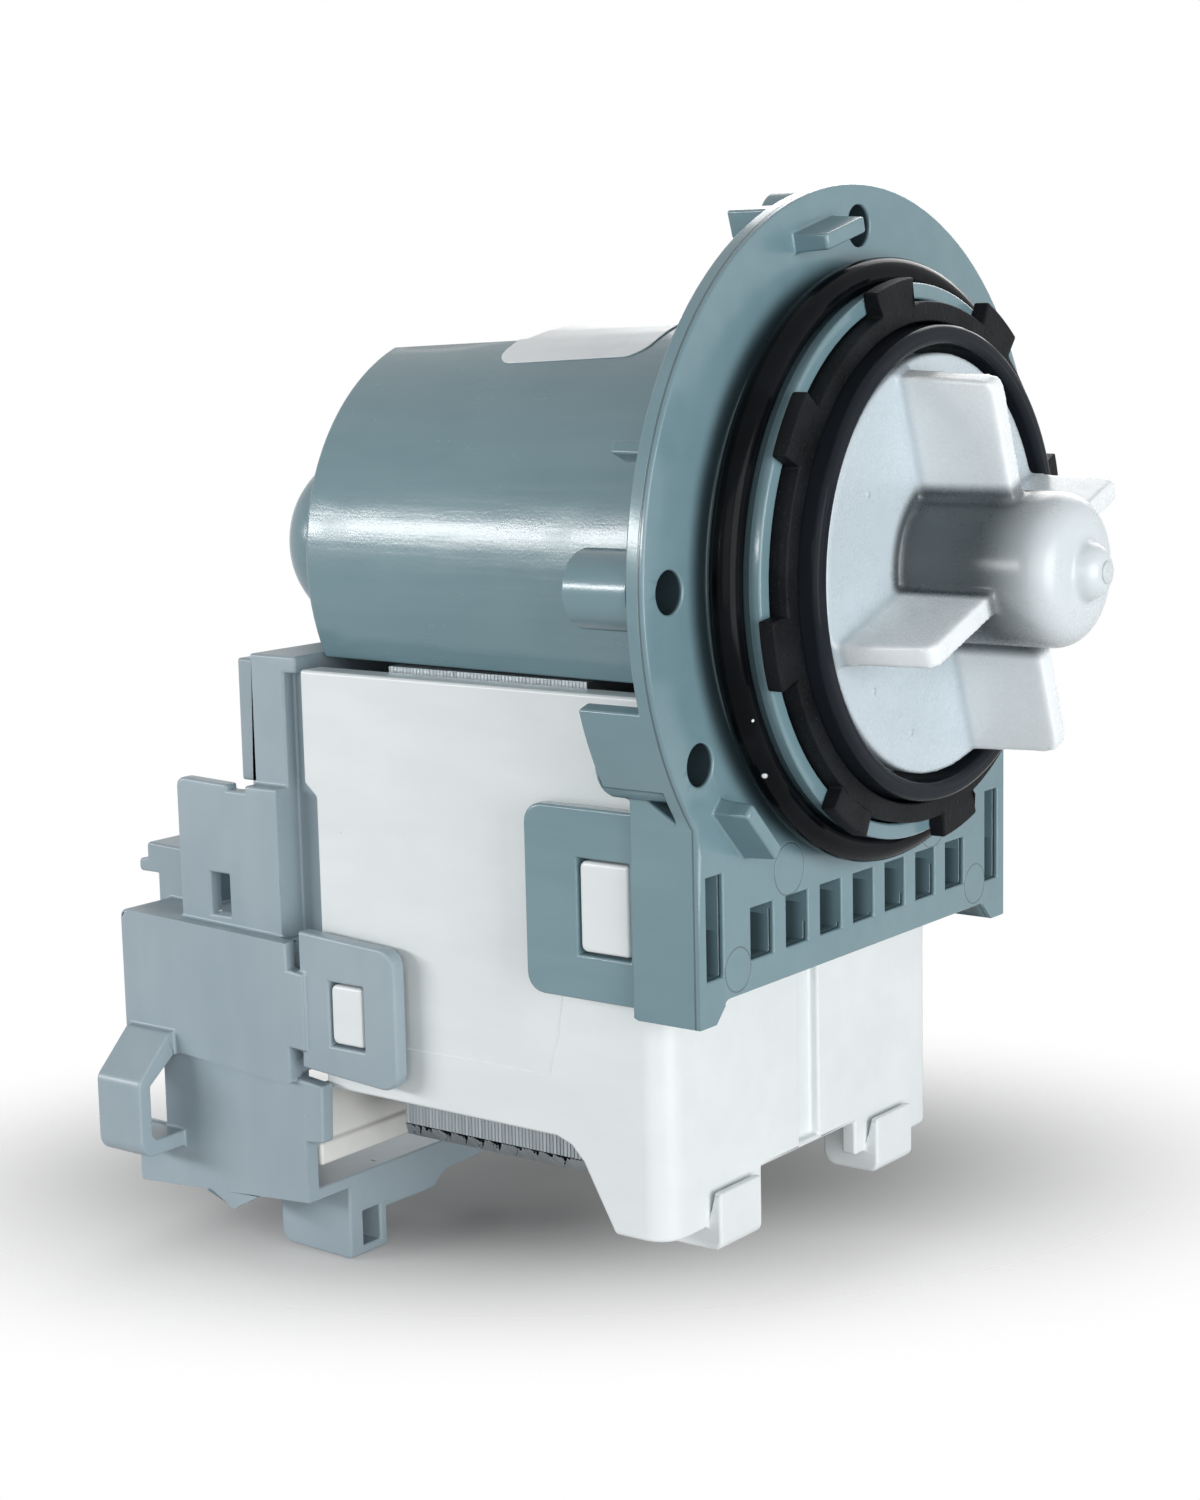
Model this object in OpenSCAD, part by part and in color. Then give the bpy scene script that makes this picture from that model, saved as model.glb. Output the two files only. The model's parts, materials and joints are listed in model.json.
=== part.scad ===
// Washer drain pump, in millimetres
// The shaft runs along X, the impeller's nose points to +X, and Z is up.
// The origin is the centre of the flange's front face.

/* [Flange] */
// Radius of the round flange
flange_r = 41; // [39.5:0.5:45]
// Thickness of the flange
flange_t = 2.3; // [1.8:0.1:3]
// Diameter of the circle through the screw holes
screw_pcd = 73; // [71:0.5:76]
// Radius of a screw hole
screw_hole_r = 2.25; // [1.6:0.05:2.8]
// Radius of the boss behind a screw hole
screw_boss_r = 4.2; // [3.4:0.1:4.4]
// Depth of a screw boss behind the front face
screw_boss_d = 10.6; // [8:0.2:16]
// Outer radius of the collar
collar_r = 30.3; // [29.8:0.1:31]
// Wall of the collar
collar_wall = 1.8; // [1.6:0.1:2.2]
// Height of the collar in front of the flange
collar_h = 6.7; // [6.2:0.1:8]
// Depth of the sealing ring's groove in the collar
oring_groove = 0.7; // [0.4:0.1:0.9]
// Section diameter of the sealing ring
oring_d = 3.5; // [2.5:0.1:3.8]
// Distance of the sealing ring's centre from the flange
oring_x = 3.3; // [2.6:0.1:3.8]
// Length of a locating peg along the rim
peg_w = 8.1; // [5:0.1:9]
// Radial thickness of a locating peg at its foot
peg_t = 2.1; // [1.8:0.1:3.2]
// Height of a locating peg
peg_h = 4.2; // [3:0.1:6]
// Distance from the shaft to the middle of a peg
peg_r = 36.7; // [35:0.1:37]

/* [Lower plate] */
// Distance from the shaft down to the lower plate's edge
plate_drop = 44; // [43:0.5:48]
// Depth of the lower plate's block
plate_d = 7.3; // [6.8:0.1:8.5]
// How far the ears reach below the plate
ear_drop = 2.2; // [1:0.1:4]
// Number of pockets in the lower plate
pocket_count = 7; // [3:1:7]
// Pitch of the pockets
pocket_pitch = 6.865; // [5.5:0.005:7.2]
// Width of a pocket
pocket_w = 4.3; // [3:0.1:5]
// Height of a pocket
pocket_h = 5.6; // [4:0.1:7]
// Depth of the pockets
pocket_d = 6; // [4:0.1:6.2]
// Distance from the pockets to the plate's edge
pocket_edge = 3.4; // [2.5:0.1:5]
// Height of the tall slot at each side
slot_h = 11; // [8:0.5:13]
// Thickness of the side frames
side_wall = 3; // [2.5:0.1:3.5]
// Depth of the side frames behind the front face
side_d = 8.7; // [8.5:0.1:10]
// Thickness of a clip plate
clip_t = 2; // [1.5:0.1:2.4]
// How far a clip plate sits inside the side frame's face
clip_inset = 1; // [0.6:0.1:1.2]
// Length of the front clip plate behind the side frame
clip_len = 15.1; // [13:0.1:18]
// Height of the front clip plate
clip_h = 21.1; // [18:0.1:24]
// Length of the front clip's window
clip_win_l = 7.1; // [5:0.1:9]
// Height of the front clip's window
clip_win_h = 10.6; // [8:0.1:13]

/* [Can] */
// Outer radius of the can at the flange
can_r_front = 27.8; // [27:0.1:28.3]
// Outer radius of the can at its rear end
can_r_rear = 26; // [25.2:0.1:27]
// Wall of the can
can_wall = 2; // [1.5:0.1:2.2]
// Free length between the core and the can's rear face
can_rear_room = 11.2; // [10:0.1:14]
// Height of the flat on top of the can's rear part
flat_h = 24.2; // [23.8:0.1:25.5]
// Inner radius of the rotor tube
tube_r = 13.7; // [13.2:0.1:14]
// Wall of the rotor tube
tube_wall = 1.3; // [1:0.1:1.5]
// Radius of the rear dome
dome_r = 10.7; // [9:0.1:11.5]
// Radius of the dome's round edge
dome_round = 6; // [3:0.1:8]
// Wall behind the rear bearing
dome_wall = 2.6; // [1.5:0.1:4]
// Distance from the can's rear face to the rear bearing
bearing_back = 7.1; // [4:0.1:8]

/* [Shaft and bearings] */
// Radius of the shaft
shaft_r = 2; // [1.5:0.1:2.4]
// Outer radius of a bearing
bearing_r = 4.5; // [4:0.1:5]
// Length of a bearing
bearing_l = 8; // [6:0.5:9]
// Radial thickness of a bearing's rubber holder
grommet_t = 2; // [1.5:0.1:2.4]
// Outer radius of a thrust washer
washer_r = 4.2; // [3.6:0.1:4.8]
// Thickness of a thrust washer
washer_t = 0.8; // [0.5:0.1:1.2]
// Air gap between the magnet and the rotor tube
air_gap = 0.7; // [0.5:0.05:1]
// How far the magnet reaches past the core at each end
magnet_over = 1.5; // [0.5:0.1:2.5]
// Radius of the plastic carrier inside the magnet
carrier_r = 8; // [6:0.1:9.5]

/* [Bearing cap] */
// Thickness of the bearing cap's disc
cap_t = 2.5; // [2:0.1:3]
// Length of the cap's spigot behind the flange
cap_spigot = 12; // [11:0.5:13]
// Radius of the cap's front hub
cap_hub_r = 8; // [7:0.1:10]
// Height of the cap's front hub over its disc
cap_hub_h = 2.3; // [1.5:0.1:2.6]
// Outer radius of the shaft seal
seal_r = 5; // [4.2:0.1:6]
// Section radius of the seal on the cap's spigot
cap_seal_s = 1.2; // [0.9:0.1:1.3]

/* [Front rings] */
// How far the lock ring stands in front of the collar
lock_over = 1.9; // [1.4:0.1:2.4]
// Radial width of the lock ring
lock_w = 2.2; // [1.8:0.1:2.4]
// Number of tabs on the lock ring
tab_count = 8; // [4:1:8]
// Angle that one tab spans
tab_angle = 14; // [10:1:20]
// How far a tab reaches past the collar
tab_over = 0.7; // [0.3:0.1:1]
// Radial width of the sealing lip
lip_w = 2.1; // [1.4:0.1:2.4]
// How far the sealing lip stands in front of the lock ring
lip_over = 2.1; // [1:0.1:2.6]

/* [Impeller] */
// Radius of the impeller's disc
disc_r = 22.8; // [21:0.1:23.2]
// Thickness of the impeller's disc
disc_t = 2; // [1.5:0.1:3]
// Distance from the flange to the disc's rear face
disc_x = 7.8; // [7.4:0.1:9]
// Number of vanes
vane_count = 4; // [3:1:6]
// Thickness of a vane
vane_t = 2.4; // [1.6:0.1:3.5]
// Height of the vanes over the disc
vane_h = 11.2; // [6:0.1:14]
// How far a vane's foot stays inside the disc's edge
vane_inset = 0.5; // [0.2:0.1:2]
// Radius of the impeller's hub
hub_r = 8.3; // [7.6:0.1:9.5]
// Wall of the impeller's hub
hub_wall = 1.8; // [1.2:0.1:2]
// Length of the hub over the disc
hub_h = 17.7; // [17:0.1:20]
// Radius of the round nose
nose_r = 3.2; // [2:0.1:4]
// Height of the round nose
nose_h = 2.5; // [1.5:0.1:3]
// Depth of the bore for the shaft's tip
tip_l = 4; // [3:0.1:5]
// Radius of the driving dog's shank
dog_r = 3.2; // [2.8:0.1:3.6]
// Angle that the driving dog spans
dog_angle = 50; // [40:1:60]
// Angle that the stop inside the hub spans
stop_angle = 40; // [30:1:50]
// Angle that one rubber pad of the dog spans
pad_angle = 10; // [8:1:14]

/* [Stator] */
// Distance from the flange to the core's front
core_x = 20; // [19.5:0.1:22]
// Length of the laminated core
core_l = 28.7; // [26:0.1:34]
// Distance from the middle to a limb's inner face
limb_y = 9; // [8.6:0.1:10]
// Width of a limb
limb_w = 9; // [7:0.1:10]
// Outer radius of the pole shoes
pole_r = 23.3; // [21:0.1:23.4]
// Angle that a pole shoe rises above the shaft
pole_angle = 60; // [45:1:70]
// Distance from the shaft down to the core's upper shoulder
shoulder_z = 11.8; // [11:0.1:12.5]
// Height of a coil former
former_h = 42.5; // [38:0.5:48]
// Wall of a coil former
former_wall = 1.2; // [0.8:0.1:1.5]
// Thickness of a coil former's end plates
former_plate = 1.5; // [1:0.1:2]
// Winding thickness beside a limb
wind_y = 5; // [4:0.1:5.2]
// Winding thickness in front of and behind a limb
wind_x = 3.5; // [2.5:0.1:4]
// Thickness of the tape round a winding
tape_t = 0.25; // [0.1:0.05:0.3]
// How far a coil former's end plates reach past the winding sideways
plate_over = 1.65; // [1.2:0.05:2]
// Height of the core's lower bar
yoke_h = 10.4; // [7:0.1:12]
// How far the lower bar reaches past the limbs
yoke_over = 6.2; // [3:0.1:7]
// Chamfer along the lower bar
yoke_chamfer = 2.2; // [0.5:0.1:3]
// Radius of the thermal cut-out
cutout_r = 1.9; // [1.5:0.1:2]
// Length of the thermal cut-out
cutout_l = 15; // [10:0.5:18]
// Height of the cut-out over the blades
cutout_rise = 14; // [12:0.5:16]
// Radius of a coil lead
lead_r = 0.8; // [0.5:0.05:1]

/* [Coil cover] */
// Wall of the coil cover
cover_wall = 2; // [1.5:0.1:2.4]
// Radius of the cover's upright front corners
cover_corner = 3.2; // [2.2:0.1:5]
// Distance from the shaft down to the cover's lower side edge
cover_side_z = 62.3; // [60:0.1:65]
// Distance from the shaft down to the edge between the front legs
cover_mid_z = 68.3; // [66.5:0.1:70]
// Distance from the shaft down to the end of the front legs
cover_leg_z = 72.4; // [71.5:0.1:74]
// Distance from the shaft down to the sole of the hooks
hook_z = 75; // [74:0.1:77]
// Half width of the gap between the front legs
leg_gap = 10; // [8:0.5:12]
// Half width of the groove down the middle of the front
groove_w = 2; // [1:0.1:3]
// Depth of the groove down the middle of the front
groove_d = 1.2; // [0.5:0.1:1.4]
// Distance from the middle to a hook's inner side
hook_y = 12.4; // [12:0.1:14]
// Width of a hook
hook_w = 8.2; // [6:0.1:10]
// How far a hook stands in front of the cover
hook_out = 1.6; // [1.2:0.1:2.5]
// Height of a hook's lip
hook_h = 6.7; // [5:0.1:7.5]
// Gap between a lug and the edge of its clip window
lug_gap = 0.3; // [0.2:0.05:0.5]

/* [Terminal bracket] */
// Thickness of the bracket's walls
rear_t = 2; // [1.5:0.1:2.5]
// Distance from the shaft down to the bracket's top
rear_top_z = 11; // [10.5:0.1:12]
// Length of the plug socket behind the cover
socket_l = 25.6; // [20:0.1:30]
// Distance from the shaft down to the socket's top
socket_top_z = 43.4; // [42:0.1:45]
// Height of the socket
socket_h = 16.4; // [14:0.1:18]
// Width of the socket
socket_w = 27; // [24:0.5:30]
// Length of the rear clip plate
rear_clip_l = 13.8; // [12:0.1:16]
// Height of the rear clip plate
rear_clip_h = 17.5; // [15:0.1:20]
// Length of the rear clip's window
rear_win_l = 5.4; // [4:0.1:7]
// Height of the rear clip's window
rear_win_h = 7.7; // [6:0.1:10]
// Distance from the shaft down to the lower box's floor
floor_z = 78.4; // [77:0.1:80]
// How much the floor rises toward the front
floor_rise = 2.2; // [0:0.1:3]
// Thickness of the lower box's floor
floor_t = 1.4; // [1:0.1:2]
// Width of the wire loop
loop_w = 7.5; // [5:0.1:9]
// Thickness of the wire loop
loop_t = 2; // [1.5:0.1:2.4]
// How far the wire loop stands out
loop_out = 7.3; // [6.8:0.1:11]
// Distance from the socket's underside down to the wire loop's end
loop_drop = 12.8; // [11:0.1:15]
// Distance from the shaft down to the sole of the rear foot
foot_z = 85.4; // [84.5:0.1:88]
// Length of the rear foot
foot_l = 11.6; // [8:0.1:14]
// Width of the rear foot
foot_w = 6.7; // [6:0.1:9]
// Distance from the bracket's side to the rear foot
foot_in = 7; // [5:0.1:9]
// Height of the terminal block's lower lip
lip_h = 2.8; // [2:0.1:3.5]
// Thickness of the terminal block
block_t = 1.4; // [1:0.1:2]
// Width of a spade terminal
spade_w = 6.3; // [4.8:0.1:6.3]
// Thickness of a spade terminal
spade_t = 0.8; // [0.5:0.1:1]
// Spacing of the two spade terminals
spade_pitch = 9.2; // [8:0.1:10]
// Free length of a spade terminal
spade_l = 15; // [10:0.5:18]

/* [Label] */
// Length of the label along the can
label_l = 21; // [12:0.1:22]
// Half width of the label across the can
label_half_w = 14.6; // [10:0.1:17]
// Distance from the flange to the label
label_x = 19; // [17:0.1:25]
// Thickness of the label
label_t = 0.12; // [0.08:0.01:0.2]

/* [Clearances] */
// Gap between parts that are pressed or glued together
press_gap = 0.02; // [0.01:0.005:0.03]
// Radial gap of a turning fit
run_gap = 0.04; // [0.03:0.005:0.08]
// Gap between neighbours that only lie near each other
near_gap = 0.3; // [0.25:0.05:0.4]
// Room between the cover's sides and the clip plates
clip_gap = 1.15; // [0.8:0.05:1.5]

/* [Hidden] */
$fn = 72;
eps = 0.01;
screw_r = screw_pcd / 2;
screw_angles = [90, 210, 330, 0, 180];
peg_angles = [104.6, 224.6, 344.6];
rib_angles = [23, 157];
rim_rib_angles = [71, 109];
rib_w = 3;
back_rib_d = side_d + 0.3;
vane_start = 20;
tab_start = 12.8;

// Core, coils and cover, from the inside out
tube_out = tube_r + tube_wall;
pole_bore = tube_out + near_gap;
core_rear = -core_x - core_l;
core_front = -core_x;
limb_out = limb_y + limb_w;
former_gap = 0.15;
former_top = -tube_out - near_gap;
former_bottom = former_top - former_h;
shoulder_low = former_top + near_gap;
form_y0 = limb_y - former_gap - former_wall;
form_y1 = limb_out + former_gap + former_wall;
form_x0 = core_rear - former_gap - former_wall;
form_x1 = core_front + former_gap + former_wall;
plate_end = tape_t + 0.15;
wind_round = 1.5;
plate_y0 = form_y0 - wind_y - plate_end;
plate_y1 = form_y1 + wind_y + plate_over;
plate_x0 = form_x0 - wind_x - plate_end;
plate_x1 = form_x1 + wind_x + plate_end;
yoke_top = former_bottom - near_gap;
yoke_low = yoke_top - yoke_h;
cover_y = plate_y1 + near_gap + cover_wall;
cover_front = -plate_d - near_gap;
cover_top = -shoulder_z - 2 * near_gap;
shoulder_y = can_r_front - 3.4;
can_cut_z = -shoulder_z + near_gap;

// Flange plate and clips
side_in = cover_y + clip_gap;
plate_half_w = side_in + side_wall;
clip_y = plate_half_w - clip_inset;
pocket_low = -plate_drop + pocket_edge;
slot_w = side_wall;
slot_y = plate_half_w - side_wall;
side_top = -21;
ear_low = -plate_drop - ear_drop;
clip_low = ear_low + 0.9;
clip_rear = -side_d - clip_len;
clip_round = 2.2;
win_x1 = -side_d - 0.9;
win_x0 = win_x1 - clip_win_l;
win_z0 = clip_low + 5;
wing_t = 1.9;
wing_d = 10;
wing_angles = [197.3, 210.7];

// Can and bearings
can_rear = core_rear - can_rear_room;
can_slope = (can_r_front - can_r_rear) / (-can_rear - flange_t);
can_round = 0.4;
dome_foot = dome_r + 1.2;
bearing_bore = shaft_r + run_gap;
grommet_out = bearing_r + grommet_t;
seat_r = grommet_out + press_gap;
cap_x = near_gap / 2;
front_bearing_x = -1.4;
front_bearing_rear = front_bearing_x - bearing_l;
rear_chamber = can_rear + can_wall + 1;
rear_bearing_front = can_rear - bearing_back;
rear_bearing_rear = rear_bearing_front - bearing_l;
seat_rear = rear_bearing_rear - 2.6;
dome_x = seat_rear - dome_wall;
shaft_rear = rear_bearing_rear - 1.2;
axial_gap = 0.2;
magnet_r = tube_r - air_gap;
magnet_x0 = core_rear - magnet_over;
magnet_x1 = core_front + magnet_over;
front_washer_x = front_bearing_rear - axial_gap;
rear_washer_x = rear_bearing_front + axial_gap;

// Front rings and cap
collar_in = collar_r - collar_wall;
cap_r = collar_in - near_gap;
cap_front = cap_x + cap_t;
cap_seal_r = tube_r - press_gap - cap_seal_s;
cap_seal_x = -6;
seal_x0 = cap_front - 1.2;
cap_nose = cap_front + cap_hub_h;
lock_r = collar_in - near_gap + 0.1;
lock_in = lock_r - lock_w;
lock_rear = cap_front + press_gap;
lock_front = collar_h + lock_over;
lip_r = lock_in - near_gap;
lip_in = lip_r - lip_w;
lip_front = lock_front + lip_over;

// Impeller and dog
disc_front = disc_x + disc_t;
hub_front = disc_front + hub_h;
hub_in = hub_r - hub_wall;
hub_round = 3.4;
tip_x0 = hub_front - tip_l - 2;
shaft_front = tip_x0 + tip_l - 0.5;
bush_t = 1.8;
bush_x = disc_x + 0.1;
dog_x0 = bush_x + bush_t + axial_gap;
dog_x1 = tip_x0 - axial_gap;
dog_rear = cap_nose + axial_gap;
dog_tip = hub_in - 0.35;
dog_bore = shaft_r + press_gap;

// Rear bracket
rear_front = can_rear - near_gap;
rear_back = rear_front - rear_t;
block_x0 = rear_front;
block_x1 = block_x0 + block_t;
block_y = plate_y1 - 1.8;
column_back = rear_front - 7.4;
column_y = cover_y - 0.35;
rear_in = cover_y - cover_wall - 0.2;
cover_rear = rear_front + 1;
cover_rear_low = cover_rear + 1.8;
step_z = -25.8;
column_low = step_z - 3;
box_y = clip_y + 0.5;
step_y = clip_y - 1.5;
low_y = clip_y - 0.5;
box_rear = rear_back - socket_l;
box_front = rear_front + 3;
socket_low = -socket_top_z - socket_h;
socket_in = -box_y + socket_w;
rear_clip_front = box_front + rear_clip_l;
rear_clip_top = -socket_top_z + 0.6;
rear_win_x0 = box_front + 3.5;
rear_win_z1 = rear_clip_top - 5.5;
spade_z = -socket_top_z - socket_h / 2;
spade_y = (-box_y + socket_in) / 2 + 0.7;
floor_front = rear_back + 3.7;
floor_low = -floor_z + floor_rise;
foot_x0 = floor_front - foot_l;
foot_y0 = -low_y + foot_in;
arm_end = 8;
block_low = floor_low + 4;
cutout_z = spade_z + cutout_rise;

// Points of an arc round c
function arc(c, r, a0, a1, n = 6) =
    [for (i = [0:n]) c + r * [cos(a0 + (a1 - a0) * i / n), sin(a0 + (a1 - a0) * i / n)]];

function unit(v) = v / norm(v);

// Points of one corner b between a and c, rounded by radius r
function corner(a, b, c, r) =
    r <= 0 ? [b] :
    let (
        u = unit(a - b),
        w = unit(c - b),
        half = acos(u * w) / 2,
        m = b + unit(u + w) * r / sin(half),
        p0 = b + u * r / tan(half) - m,
        p1 = b + w * r / tan(half) - m,
        a0 = atan2(p0.y, p0.x),
        turn = (atan2(p1.y, p1.x) - a0 + 540) % 360 - 180
    )
    arc(m, r, a0, a0 + turn, 5);

// Outline through points [x, y, corner radius]
function rounded(p) = [
    for (i = [0:len(p) - 1])
        let (a = p[(i + len(p) - 1) % len(p)], b = p[i], c = p[(i + 1) % len(p)])
            each corner([a.x, a.y], [b.x, b.y], [c.x, c.y], b.z)
];

// Corners of a rectangle, each rounded by r
function box2(x0, x1, y0, y1, r = 0) = [[x0, y0, r], [x1, y0, r], [x1, y1, r], [x0, y1, r]];

// A (y, z) outline pushed along X from x0 to x1
module along_x(x0, x1) {
    translate([x0, 0, 0]) rotate([90, 0, 90]) linear_extrude(x1 - x0) children();
}

// An (x, z) outline pushed along Y from y0 to y1
module along_y(y0, y1) {
    translate([0, y1, 0]) rotate([90, 0, 0]) linear_extrude(y1 - y0) children();
}

// A solid of revolution about the shaft from points [radius, x]
module turned(points, turn = 360) {
    rotate([90, 0, 90]) rotate_extrude(angle = turn) polygon(points);
}

// A plain ring or disc about the shaft
module ring(r, x0, x1, bore = 0) {
    translate([x0, 0, 0]) rotate([0, 90, 0]) difference() {
        cylinder(r = r, h = x1 - x0);
        if (bore > 0) translate([0, 0, -1]) cylinder(r = bore, h = x1 - x0 + 2);
    }
}

// A cylinder along X through (y, z)
module rod_x(r, x0, x1, y = 0, z = 0) {
    translate([x0, y, z]) rotate([0, 90, 0]) cylinder(r = r, h = x1 - x0);
}

module block(x0, x1, y0, y1, z0, z1) {
    translate([x0, y0, z0]) cube([x1 - x0, y1 - y0, z1 - z0]);
}

// Both mirror copies of a child on the left side
module both_sides() {
    children();
    mirror([0, 1, 0]) children();
}

// Housing
module flange_plate() {
    ring(flange_r, -flange_t, 0);
    along_x(-plate_d, 0) polygon(rounded([
        [-plate_half_w, -flange_r * 0.6, 0],
        [-plate_half_w, ear_low, 0.4],
        [-side_in - eps, ear_low, 0],
        [-side_in + ear_drop, -plate_drop, ear_drop / 2],
        [side_in - ear_drop, -plate_drop, ear_drop / 2],
        [side_in + eps, ear_low, 0],
        [plate_half_w, ear_low, 0.4],
        [plate_half_w, -flange_r * 0.6, 0]
    ]));
    ring(collar_r, -eps, collar_h);
}

module can_and_tube() {
    x_front = -flange_t + eps;
    turned(concat(
        [
            [tube_r, x_front],
            [tube_r, rear_chamber],
            [seat_r, rear_chamber],
            [seat_r, seat_rear],
            [0, seat_rear],
            [0, dome_x]
        ],
        arc([dome_r - dome_round, dome_x + dome_round], dome_round, 270, 360),
        [
            [dome_foot, can_rear],
            [can_r_rear - can_round, can_rear],
            [can_r_rear, can_rear + can_round],
            [can_r_front, x_front],
            [can_r_front - can_wall, x_front],
            [can_r_rear - can_wall, can_rear + can_wall],
            [tube_out, can_rear + can_wall],
            [tube_out, x_front]
        ]
    ));
}

// The open underside of the can, outside the rotor tube
module can_underside() {
    difference() {
        block(can_rear - 1, -plate_d, -flange_r, flange_r, -flange_r, can_cut_z);
        ring(tube_out, can_rear - 2, 0);
    }
}

module can_top_flat() {
    ramp = 6.4;
    x_end = -label_x - label_l + 1;
    rise = 0.7;
    along_y(-flange_r, flange_r) polygon([
        [can_rear - 1, flat_h],
        [x_end, flat_h + rise],
        [x_end + ramp / 8, flat_h + 2 * rise],
        [x_end + ramp / 2, flat_h + 3.2 * rise],
        [x_end + ramp, flat_h + 4 * rise],
        [x_end + ramp, flange_r],
        [can_rear - 1, flange_r]
    ]);
}

// A screw boss, cut back where the coil cover stands behind the plate
module screw_boss(a) {
    difference() {
        rotate([a, 0, 0]) rod_x(screw_boss_r, -screw_boss_d, -eps, screw_r);
        block(-2 * screw_boss_d, cover_front + near_gap, -cover_y - near_gap, cover_y + near_gap,
            -flange_r, cover_top + near_gap);
    }
}

module side_frame() {
    along_y(-plate_half_w, -side_in) polygon(rounded([
        [-side_d, side_top, 0],
        [-eps, side_top - 5, 0],
        [-eps, ear_low, 0],
        [-side_d, ear_low, 0.4]
    ]));
    along_y(-clip_y, -clip_y + clip_t) difference() {
        polygon(rounded([
            [-side_d + 2, clip_low, 0],
            [-side_d + 2, clip_low + clip_h, 0],
            [clip_rear, clip_low + clip_h, clip_round],
            [clip_rear, clip_low, clip_round]
        ]));
        translate([win_x0, win_z0]) square([clip_win_l, clip_win_h]);
    }
}

module wing() {
    intersection() {
        ring(flange_r, -wing_d, -eps, flange_r - wing_t);
        along_x(-wing_d, 0) polygon([
            [0, 0],
            2 * flange_r * [cos(wing_angles[0]), sin(wing_angles[0])],
            2 * flange_r * [cos(wing_angles[1]), sin(wing_angles[1])]
        ]);
    }
}

// A locating peg with a slight draft on all four sides
module peg(a) {
    draft = 0.2;
    rotate([a, 0, 0]) intersection() {
        translate([0, peg_r - peg_t, 0]) rotate([-90, 0, 0]) linear_extrude(2 * peg_t) polygon(rounded([
            [-eps, -peg_w / 2, 0],
            [-eps, peg_w / 2, 0],
            [peg_h, peg_w / 2 - draft, 0.5],
            [peg_h, -peg_w / 2 + draft, 0.5]
        ]));
        translate([0, 0, -peg_w]) linear_extrude(2 * peg_w) polygon([
            [-eps, peg_r - peg_t / 2],
            [-eps, peg_r + peg_t / 2],
            [peg_h, peg_r + peg_t / 2 - draft],
            [peg_h, peg_r - peg_t / 2 + draft]
        ]);
    }
}

module back_rib(a, r0, r1, depth) {
    rotate([a, 0, 0]) along_y(r0, r1) polygon([[-depth, 0.7], [-eps, 0.9], [-eps, -0.9], [-depth, -0.7]]);
}

module motor_housing() {
    color("#71878d") difference() {
        union() {
            difference() {
                union() {
                    flange_plate();
                    for (a = screw_angles) screw_boss(a);
                }
                ring(collar_in, 0, collar_h + 1);
                ring(tube_out - tube_wall / 2, -flange_t - 1, 1);
                ring(can_r_front - can_wall / 2, -plate_d - 1, -flange_t, tube_out + tube_wall);
            }
            difference() {
                can_and_tube();
                can_underside();
                can_top_flat();
            }
            ring(tube_out, -flange_t, -eps, tube_r);
            both_sides() side_frame();
            both_sides() wing();
            for (a = peg_angles) peg(a);
            for (a = rib_angles) back_rib(a, peg_r - rib_w, peg_r, back_rib_d);
            for (a = rim_rib_angles) back_rib(a, flange_r - rib_w - 0.5, flange_r - 0.4, back_rib_d - 1);
        }
        ring(collar_r + 3, oring_x - oring_d / 2 - 0.05, oring_x + oring_d / 2 + 0.05, collar_r - oring_groove);
        for (a = screw_angles) rotate([a, 0, 0]) rod_x(screw_hole_r, -screw_boss_d - 1, 1, screw_r);
        for (i = [0:pocket_count - 1]) {
            y = (i - (pocket_count - 1) / 2) * pocket_pitch;
            block(-pocket_d, 1, y - pocket_w / 2, y + pocket_w / 2, pocket_low, pocket_low + pocket_h);
        }
        both_sides() block(-pocket_d, 1, -slot_y - slot_w / 2, -slot_y + slot_w / 2,
            pocket_low - 0.7, pocket_low - 0.7 + slot_h);
    }
}

// Rings on the collar
module o_ring() {
    color("#141516") rotate([0, 90, 0]) translate([0, 0, oring_x])
        rotate_extrude() translate([collar_r - oring_groove + press_gap + oring_d / 2, 0])
            circle(d = oring_d, $fn = 40);
}

module lock_ring() {
    color("#17181a") {
        ring(lock_r, lock_rear, lock_front, lock_in);
        for (i = [0:tab_count - 1]) rotate([tab_start - tab_angle / 2 + i * 360 / tab_count, 0, 0])
            turned([
                [lock_r - 0.5, collar_h + press_gap],
                [collar_r + tab_over, collar_h + press_gap],
                [collar_r + tab_over, lock_front],
                [lock_r - 0.5, lock_front]
            ], tab_angle);
    }
}

module lip_ring() {
    lip_round = lip_w / 3;
    color("#101113") turned(concat(
        [[lip_r, lock_rear], [lip_r, lip_front - lip_round]],
        arc([lip_r - lip_round, lip_front - lip_round], lip_round, 0, 90),
        arc([lip_in + lip_round, lip_front - lip_round], lip_round, 90, 180),
        [[lip_in, lock_rear]]
    ));
}

// Bearing cap and its seals
module front_cap() {
    groove_r = cap_seal_r - cap_seal_s;
    color("#8b9498") turned([
        [cap_r, cap_x],
        [cap_r, cap_front],
        [cap_hub_r, cap_front],
        [cap_hub_r, cap_nose],
        [seal_r + press_gap, cap_nose],
        [seal_r + press_gap, seal_x0],
        [shaft_r + 0.6, seal_x0],
        [shaft_r + 0.6, front_bearing_x + axial_gap],
        [seat_r, front_bearing_x + axial_gap],
        [seat_r, -cap_spigot],
        [tube_r - 0.15, -cap_spigot],
        [tube_r - 0.15, cap_seal_x - cap_seal_s],
        [groove_r, cap_seal_x - cap_seal_s],
        [groove_r, cap_seal_x + cap_seal_s],
        [tube_r - 0.15, cap_seal_x + cap_seal_s],
        [tube_r - 0.15, cap_x]
    ]);
}

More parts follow.
